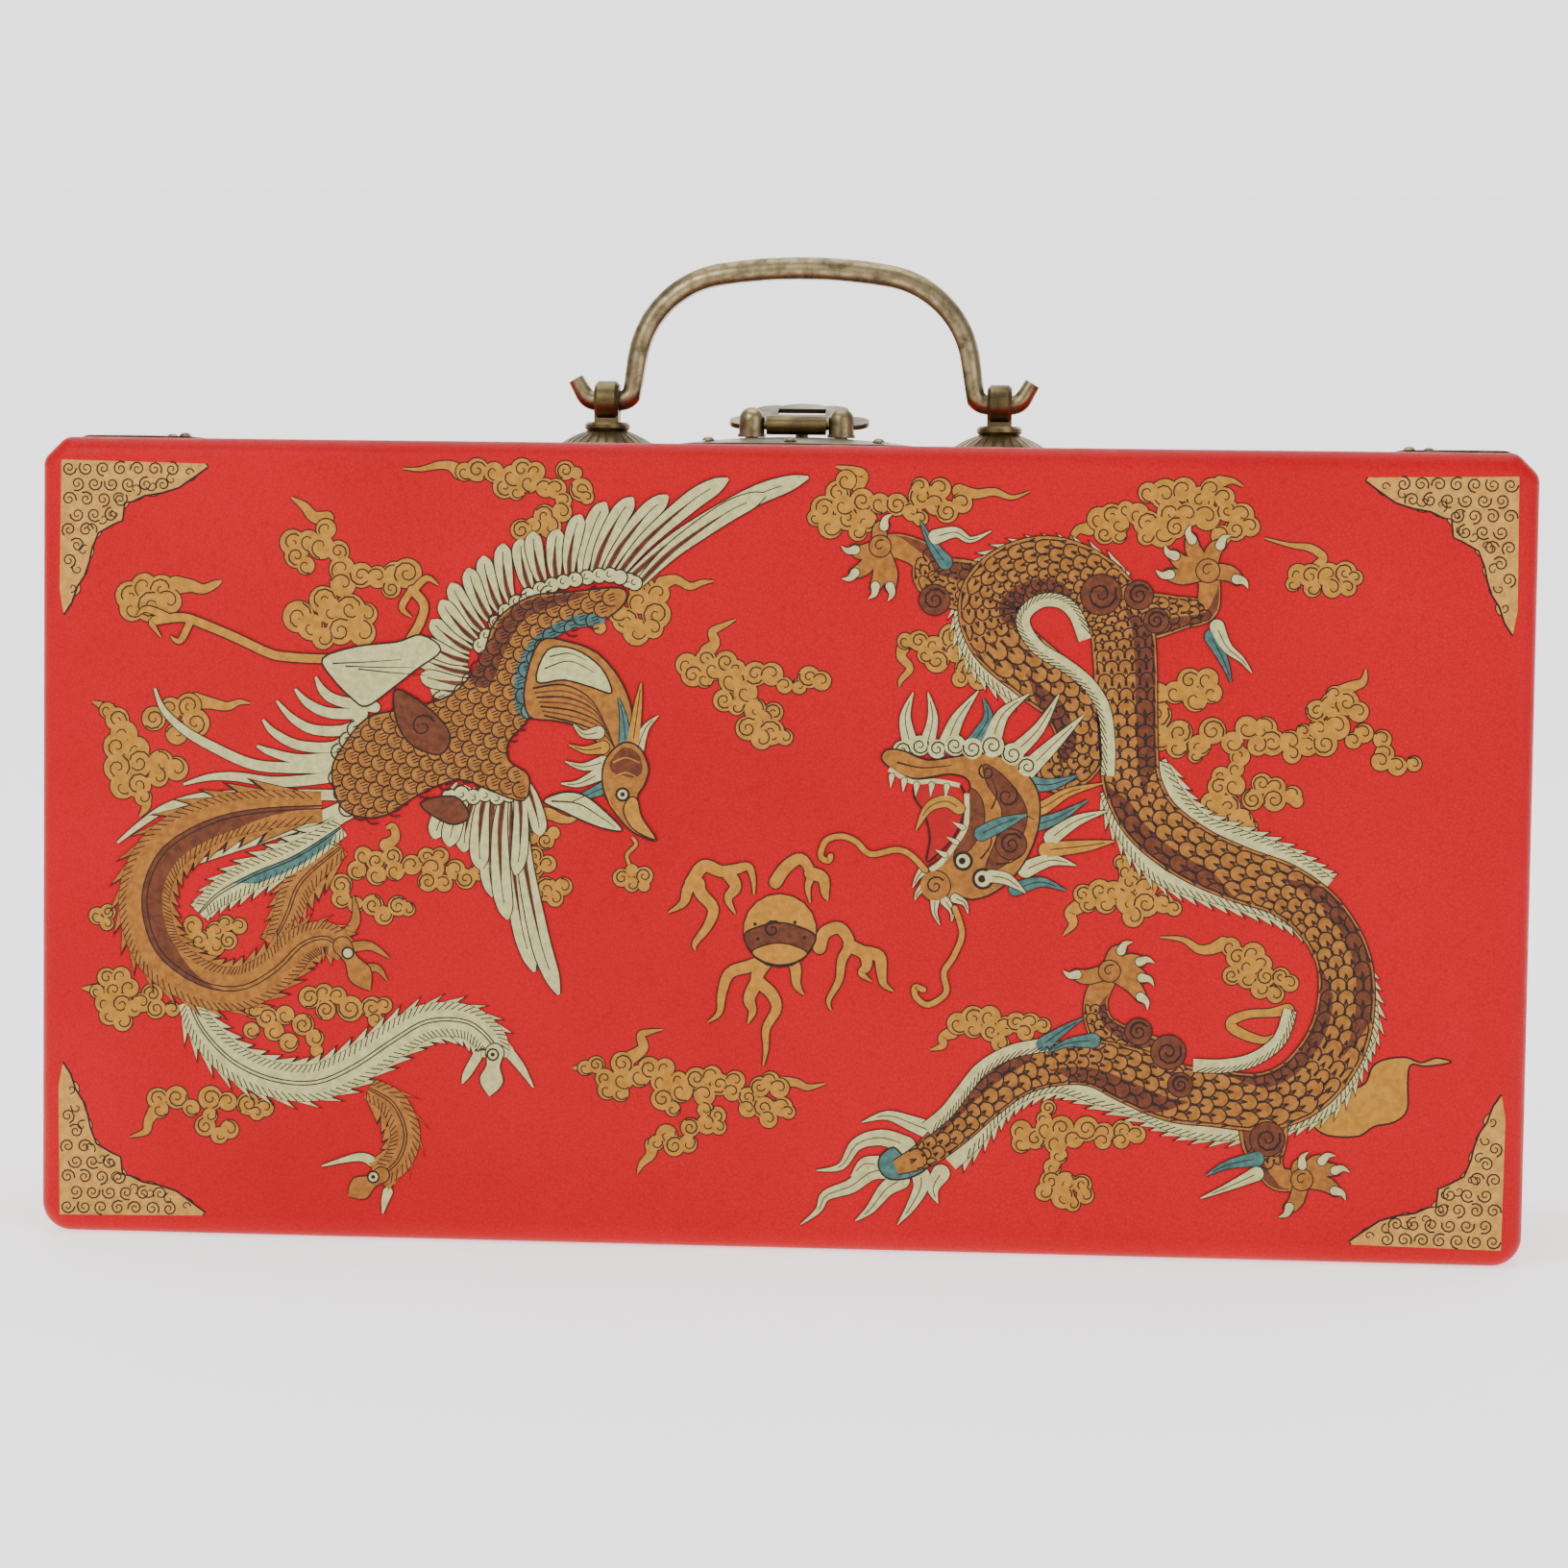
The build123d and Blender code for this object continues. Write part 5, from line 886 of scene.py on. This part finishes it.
def print_dragon_head():
    """Mane, horns, jaws, tongue, eyes, beard and whiskers."""
    for points, half, ink in (([(44, 90), (52, 90), (58, 93.5), (65, 95.5)], 1.5, "gold"),
            ([(54, 82), (62, 83), (67.5, 84)], 1.4, "gold"), ([(50, 98), (55, 103), (61, 109)], 1.7, "pale"),
            ([(43, 104), (45, 109), (50, 113)], 1.6, "pale"), ([(39, 103), (42, 108), (41, 112)], 1.2, "teal"),
            ([(34, 103), (36, 108), (40, 113.5)], 1.6, "pale"), ([(30, 103), (31, 108), (30, 113)], 1.3,
            "pale"), ([(26.5, 103), (25.5, 108), (27, 113)], 1.4, "pale"), ([(47, 101), (52, 106), (56, 113)],
            1.5, "pale"), ([(55, 84.5), (60, 88), (66, 90)], 1.4, "pale"), ([(50, 78), (55, 80), (60, 79)], 1.5,
            "pale"), ([(48, 74), (53, 75.6), (58, 74)], 1.2, "teal"), ([(46, 96), (54, 95), (60, 97)], 1.6,
            "teal"), ([(47, 86), (55, 88), (62, 92)], 1.5, "teal")):
        lock(56, thinning(points, half, 0.12, 1.6), ink)
    heads("pale", [(25, 101.5, 1.8, 1), (28.5, 102.4, 2.0, -1), (32, 101.8, 1.9, 1), (35.5, 102.6, 2.1, -1),
        (39, 102, 2.1, 1), (43, 102.6, 2.3, -1), (47, 101, 2.2, 1), (50, 98.6, 2.0, -1)], 56)
    patch("ochre", 60, [(21, 99.4), (24, 97), (27.4, 95.8), (31, 96.2), (35, 96.8), (38.4, 95.4), (38.6, 90),
        (37, 85), (33.4, 80.4), (30.4, 78), (29, 75), (30.4, 72), (33.4, 71), (36.4, 72.4), (39.6, 71.8),
        (44, 73.4), (48, 77), (51, 82), (52.6, 88), (52, 94), (48, 99), (42, 101), (36, 100.4), (30, 99.6),
        (25, 101.4), (21.8, 101.4)])
    patch("brown", 61, [(41.4, 99), (46, 96), (50, 90), (49, 84), (46, 79), (42, 78), (44, 84), (45, 90),
        (42, 95)], rim=0.15)
    patch("brown", 61, [(38.6, 94), (41, 92), (41.6, 87), (39, 82), (35.6, 79.6), (36.6, 84), (38.4, 89)],
        rim=0.15)
    patch("red", 61.6, [(28, 94.8), (33, 95.2), (37, 94.2), (37.4, 89), (35.4, 84), (32, 80.4), (30.2, 79.4),
        (30.8, 84), (29.6, 89), (27.6, 92)], rim=0.3)
    trace(flow([(38, 93), (38, 87), (36, 83), (33, 79), (31, 77.5)]), 62.2, 1.0, "pale")
    trace(flow([(22.4, 97.6), (27, 95.2), (32, 95.4), (36.6, 94.6)]), 62.2, 0.9, "pale")
    lock(62.4, [(36.5, 90, 1.2), (34, 91.4, 1.2), (30.4, 90, 0.9), (28, 85.5, 0.12)], "gold")
    for x, z in ((23, 95.4), (25.5, 94.6), (28, 93.8), (31, 93.8), (34, 93.6)):
        limb("pale", 62.8, [(x, z + 0.8, 0.6), (x - 0.2, z - 1.4, 0.08)], 3, 0.16)
    for x, z in ((33.4, 80.6), (35.6, 83.2), (36.8, 86.2)):
        limb("pale", 62.8, [(x + 0.5, z, 0.55), (x - 1.4, z + 1.0, 0.08)], 3, 0.16)
    spot("ochre", 62, 32, 74.4, 3.0)
    scroll(63.5, 32, 74.4, 2.0, 0.6, 1, 0.4)
    for x, z, radius in ((37.5, 79.5, 1.4), (41.5, 76, 1.6)):
        disc("ink", 63, x, z, radius + 0.6)
        disc("pale", 64, x, z, radius)
        disc("ink", 64.6, x - 0.2, z, radius * 0.5)
    shoulder(62, 47, 83, 3.0)
    scroll(63.5, 46, 92.6, 2.4, 1.2, -1, 0.4)
    scroll(63.5, 42, 97.4, 1.8, 2.2, 1, 0.4)
    for points in ([(41, 80), (43, 83), (42.6, 87)], [(44, 79), (47, 79.4), (49, 81)],
            [(24, 99), (29, 98), (35, 98.6)], [(46, 88), (49, 89), (51.6, 88)], [(43, 90), (44, 93), (43, 96)]):
        pen(63.6, points, 0.4)
    lock(64, [(41, 85, 1.4), (45, 87, 1.3), (50, 89, 0.2)], "teal")
    lock(64, [(43, 76.6, 1.2), (46.4, 76, 1.1), (50, 73.4, 0.15)], "pale")
    for points in ([(29.5, 77.4), (28.4, 76), (27.5, 74)], [(30.4, 75), (28.6, 73), (28, 71.5)],
            [(32, 71.4), (32, 69), (33, 66.6)], [(34, 71.4), (35.4, 69.4), (35.4, 67.4)],
            [(36, 72), (38, 71), (38.6, 69)]):
        lock(61.4, thinning(points, 0.8, 0.1))
    for points in ([(30, 77.5), (27, 80.5), (24, 81.5), (19, 80.5), (16, 83), (13, 84), (10, 83), (9, 80),
            (10.5, 79), (11, 80)], [(36, 70), (37.5, 65), (36, 60.5), (34, 57), (34.5, 53), (31, 50.5),
            (28.5, 52), (28.3, 54), (30, 53.5)]):
        limb("gold", 64, [(x, z, 0.55) for x, z in points], 6, 0.2)


def print_phoenix():
    """The phoenix on the left: tail plumes, legs, wings, the scaled body, neck and head."""
    for points in ([(-81.3, 108.3), (-88.8, 109.5), (-91.9, 111.4), (-93.4, 114.2)], [(-83.8, 107),
            (-90.6, 107), (-95, 108.9), (-97.6, 111.7)], [(-83.8, 105.8), (-87.5, 103.6), (-93.8, 103.6),
            (-98.1, 105.8), (-101.3, 109.2)], [(-86.9, 102), (-90, 100.1), (-96.9, 100.4), (-101.9, 102.9),
            (-104.1, 105.4)], [(-86, 98), (-90, 97.9), (-96.9, 97.6), (-102.5, 98.9), (-105.3, 100.1)],
            [(-88, 96), (-98.8, 95.8), (-106.3, 96.4), (-113.8, 99.5), (-120, 102.9), (-124.4, 107),
            (-126.3, 111.4)], [(-88, 94.4), (-95.6, 93.3), (-102.5, 92.9), (-109.4, 93.8), (-115, 93.6),
            (-120.3, 92.1)], [(-88, 90.4), (-93.8, 90.4), (-106.3, 90.1), (-116.3, 89.5), (-123.8, 87.3),
            (-129.4, 83.6), (-133.8, 80)], [(-86, 87), (-92, 83.6), (-99, 81)], [(-88, 88), (-97, 84),
            (-108, 80), (-118, 76)], [(-90, 84), (-101, 79.6), (-111, 73)]):
        limb("pale", 40, thinning(points, 0.8, 0.25, 3), 5, 0.2)
    plume("pale", 43, [(-119, 48, 2.4), (-116, 42, 3), (-110, 36, 3.4), (-102, 32.5, 3.6), (-93, 32, 3.7),
        (-85, 35.5, 3.7), (-77, 41, 3.6), (-70, 45, 3.5), (-62, 45, 3.4), (-57, 41, 3.2), (-56.5, 38, 2.6)],
        (-56.8, 38.5), (-57, 33.6))
    plume("ochre", 43, [(-82, 31, 2.2), (-77, 28, 2.8), (-74.5, 22, 3), (-76, 16.5, 2.8), (-80, 13, 2.2)],
        (-81, 13), (-83.4, 10.8))
    plume("ochre", 49, [(-88, 80, 2), (-96, 73, 3), (-99, 66, 2.8), (-102, 60, 1.6)])
    plume("pale", 50, [(-88, 84, 2), (-97, 78, 2.8), (-106, 74, 3), (-113, 70, 2.6), (-117, 66, 1.4)],
        shade="teal")
    plume("ochre", 54, [(-92, 88, 3), (-105, 87, 4), (-115, 84.5, 4.6), (-124, 79, 5), (-128, 71, 5.2),
        (-127.5, 63, 5.2), (-124, 56.5, 5), (-116, 51.5, 4.6), (-108, 51, 4.3), (-101, 55, 4), (-96, 60, 3.6),
        (-91, 61.5, 3.2), (-87, 59, 2.6)], (-86.5, 58.5), (-84.2, 54.6), "brown", 3.6, 1.9)
    for points in ([(-86, 59.6, 1), (-82, 60, .8), (-78, 57.6, .15)], [(-88, 61, 1.1), (-85, 65, .9),
            (-85.4, 70, .15)], [(-84, 55, .9), (-80.6, 55.6, .7), (-78.4, 53, .1)]):
        limb("ochre", 42, points, 5, 0.2)
    for points in ([(-60, 38, 1), (-62, 34.5, .8), (-63, 32.5, .15)], [(-53.5, 39, 1), (-51, 36, .8),
            (-48.5, 32, .15)], [(-81, 16, 1), (-84, 17, .8), (-91.5, 15, .15)], [(-78, 10, 1), (-78.6, 8, .7),
            (-79, 5.6, .15)]):
        limb("pale", 42, points, 5, 0.2)
    for points in ([(-84, 118), (-93.4, 117.9), (-100.6, 118.3), (-103.8, 119.2), (-110, 122), (-116.3, 124.5),
            (-120.6, 125.8), (-126.3, 125.1)], [(-75, 118), (-74.5, 121.5), (-72.5, 125), (-71.5, 129),
            (-74, 132)]):
        limb("gold", 58, [(x, z, 0.85) for x, z in points], 5, 0.25)
    for points in ([(-126, 125), (-126.9, 124.5), (-125, 121.7)], [(-119, 125.2), (-121.1, 121.1),
            (-123.1, 122)], [(-74, 132), (-76, 128.5), (-74, 126.5)], [(-124, 126), (-128, 127.4), (-130, 126)],
            [(-73.6, 132), (-71, 134.4), (-68.6, 133)]):
        limb("gold", 58.4, [(x, z, w) for (x, z), w in zip(points, (0.7, 0.6, 0.1))], 5, 0.22)
    print_wings()
    patch("pale", 66, [(-92, 118), (-85, 120.5), (-77, 121.5), (-72, 123), (-68, 120), (-73, 116), (-78, 112),
        (-83, 108.5), (-86, 110), (-90, 114)])
    for shift in (0, 2.6, 5.2):
        pen(67, [(-90 + shift, 117 - shift * 0.2), (-83 + shift, 117.4 - shift * 0.4),
            (-76 + shift, 118 - shift * 0.6)], 0.3)
    body = patch("ochre", 68, [(-90, 95), (-88, 100), (-83, 106), (-76, 108), (-66, 111), (-60, 118),
        (-57, 126), (-50, 131), (-42, 132), (-32, 133), (-31, 130), (-36, 126), (-42, 124.5), (-47, 121),
        (-50, 115), (-50, 107), (-54, 102), (-54, 98), (-50, 95), (-51, 90), (-58, 92), (-64, 94), (-72, 91),
        (-78, 87), (-83, 86), (-88, 88)])
    patch("teal", 69, [(-50, 107), (-50, 115), (-47, 121), (-42, 124.5), (-35, 126), (-37.5, 127.8),
        (-43, 126.6), (-49.4, 122.6), (-53, 115.6), (-52.6, 108)], rim=0)
    patch("brown", 69, [(-62, 114), (-58.6, 121), (-55.4, 127), (-49, 130.6), (-38, 132), (-44, 129.4),
        (-51, 126.4), (-55, 120), (-58, 113)], rim=0)
    scale_field(body, 70, 3.2, 200, 0.32)
    for outline in ([(-77, 112), (-70, 108), (-66, 103), (-68, 99), (-74, 101), (-77, 106)], [(-72, 89),
            (-66, 85), (-62, 86.6), (-65, 90.6)]):
        patch("brown", 71, outline)
    scroll(72, -71.6, 104.6, 2.6, 0.4, 1, 0.4)
    patch("ochre", 72, [(-48, 122), (-42, 122), (-36, 119.6), (-31, 113.4), (-29, 106), (-30.4, 100),
        (-33.6, 97), (-36, 101.6), (-40, 105), (-45, 106.2), (-50, 107), (-51, 113)])
    patch("pale", 73, [(-48.6, 114), (-46.4, 120.4), (-41, 120.6), (-35.6, 117), (-33.4, 112), (-37.4, 113),
        (-43, 114.4)])
    for n in range(7):
        pen(74.4, [(-49.4 + n * 0.4, 112.6 - n * 0.9), (-43 + n * 0.5, 113.4 - n * 1.3),
            (-37.4 + n * 0.5, 110.4 - n * 1.2), (-33.6 + n * 0.3, 103.6 - n * 0.8)], 0.42,
            "brown" if n % 2 else "ink")
    for points in ([(-47, 116.6), (-42, 118.2), (-37, 116)], [(-46, 119), (-42, 119.8), (-38.6, 118.4)]):
        pen(74.4, points, 0.3)
    for points, ink in (([(-35, 98), (-39, 97), (-42.6, 98)], "pale"), ([(-36, 95.5), (-40, 93.6),
            (-43.4, 93.6)], "pale"), ([(-35, 101), (-38.6, 100.4), (-42, 101.4)], "gold"), ([(-36, 104),
            (-39, 103.6), (-41, 105.5)], "pale"), ([(-29, 102), (-28, 110), (-27.5, 114)], "gold"),
            ([(-28, 101), (-26.5, 105), (-24, 107.5)], "pale"), ([(-30.5, 102), (-31, 107), (-32, 111)],
            "teal"), ([(-34.4, 93), (-39, 91), (-43, 89)], "teal")):
        lock(75, thinning(points, 1.15), ink)
    patch("pale", 76, [(-47, 90), (-43, 91.8), (-39, 91.4), (-35, 88.6), (-31, 84.5), (-34.4, 84.6),
        (-38.6, 86), (-43, 88)])
    pen(77, [(-45.4, 90), (-40, 89.6), (-35.4, 87), (-32.4, 85)], 0.35)
    patch("ochre", 77, [(-34.6, 98.4), (-31, 102), (-27.6, 101), (-25.8, 97), (-26.6, 93.6), (-28, 91),
        (-27, 87), (-24, 82.5), (-27.5, 83.4), (-30, 85), (-33, 88.6), (-35, 93)])
    patch("brown", 77.6, [(-33.6, 98), (-31, 101), (-28, 100), (-27, 96.6), (-28.6, 95), (-31, 95.4),
        (-33, 96)], rim=0)
    patch("gold", 78, [(-29.6, 91), (-28, 90.6), (-27, 87), (-24.2, 82.8), (-27.4, 83.8), (-29.6, 85.6),
        (-30.8, 88.6)], rim=0.2)
    disc("ink", 79, -31, 91.6, 1.5)
    disc("pale", 79.6, -31, 91.6, 1.0)
    disc("ink", 80, -31, 91.6, 0.5)
    for points in ([(-33, 95), (-30.4, 96), (-28, 95)], [(-33, 98), (-30.4, 99), (-27.6, 98)], [(-34, 92),
            (-33.4, 89.6), (-31.8, 87.6)]):
        pen(79, points, 0.36, "gold")


def print_wings():
    """The two spread wings: long feathers, and small ones over their roots."""
    roots = flow([(-62, 112), (-62, 120), (-56, 128), (-46, 134), (-36, 136), (-28, 134)], 8)
    tips = [(-70, 112.5), (-72, 115), (-73, 119), (-72, 122), (-70, 126), (-68, 130), (-66, 133.5),
        (-62.5, 136.5), (-59.5, 139), (-55.5, 141.5), (-52, 142.5), (-49.5, 144), (-44.5, 144.5), (-40, 147.5),
        (-35, 150), (-29.5, 151), (-22.5, 151.5), (-10.5, 155), (5.5, 155.5), (-3, 152)]
    last = len(tips) - 1
    for i in sorted(range(len(tips)), key=lambda n: (n % 2, n)):
        root = roots[int(i / last * (len(roots) - 1))]
        feather(60 + 2.4 * (i % 2) + 0.02 * i, root[:2], tips[i], 1.75 if i < 14 else 1.9, 0.06)
    scallops = flow([(-60, 121), (-55, 128), (-48, 132.5), (-41, 134.5), (-34, 135.5), (-29, 134)], 3)
    for i, (x, z) in enumerate(scallops):
        disc("ink", 65.2 + 0.3 * (i % 2), x, z, 1.7)
        disc("pale", 65.8 + 0.3 * (i % 2), x, z, 1.4)
        scroll(66.4, x, z, 0.8, 2.0, 1, 0.26, 0.6)
    lower = [(-69, 82), (-66, 80.5), (-63, 79.5), (-59.5, 76), (-57, 70.5), (-54, 66), (-48.5, 55.5),
        (-43.5, 51)]
    for i, tip in enumerate(lower):
        root = (-64 + i * 1.8, 93 - i * 0.4)
        feather(60 + 2.4 * (i % 2), root, tip, 1.9, -0.05)
    for i, tip in enumerate([(-51.5, 80), (-52.5, 75), (-49.5, 86), (-47.6, 83)]):
        feather(65 + 1.2 * (i % 2), (-53 + i * 0.7, 94), tip, 1.6, 0.05)
    for i in range(7):
        x, z = -66 + i * 2.4, 90.6 + (i % 2) * 0.6
        disc("ink", 66.4, x, z, 1.75)
        disc("pale", 67, x, z, 1.45)
        scroll(67.4, x, z, 0.8, 4.2, 1, 0.26, 0.6)


PRINT_COLOURS = {
    "gold": ((0.42, 0.19, 0.020), (0.31, 0.13, 0.011)),
    "corner": ((0.50, 0.27, 0.055), (0.38, 0.18, 0.03)),
    "pale": ((0.48, 0.46, 0.21), (0.36, 0.33, 0.13)),
    "ochre": ((0.33, 0.13, 0.017), (0.21, 0.072, 0.009)),
    "brown": ((0.13, 0.033, 0.010), (0.07, 0.017, 0.006)),
    "teal": ((0.055, 0.15, 0.13), (0.03, 0.075, 0.07)),
    "ink": ((0.022, 0.007, 0.005), (0.010, 0.004, 0.003)),
    "red": ((0.36, 0.0, 0.003), (0.30, 0.0, 0.002)),
}


def print_face():
    """Draws the whole picture and lays each ink on the lid as one thin piece."""
    print_corners()
    print_clouds()
    print_pearl()
    print_phoenix()
    print_dragon()
    for ink, shapes in printing.items():
        mesh = bpy.data.meshes.new("print_" + ink)
        shapes.to_mesh(mesh)
        shapes.free()
        piece = bpy.data.objects.new("print_" + ink, mesh)
        bpy.context.collection.objects.link(piece)
        light, dark = PRINT_COLOURS[ink]
        mesh.materials.append(printed("print_" + ink, light, dark))
        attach(piece, "lid")


place_camera()
stage()
slots = {entry["node"]: entry["material_slot"] for entry in frame["record"]["subparts"]}
for node, piece in frame["nodes"].items():
    piece.data.materials.clear()
    piece.data.materials.append(FINISHES[slots[node]])

print_face()
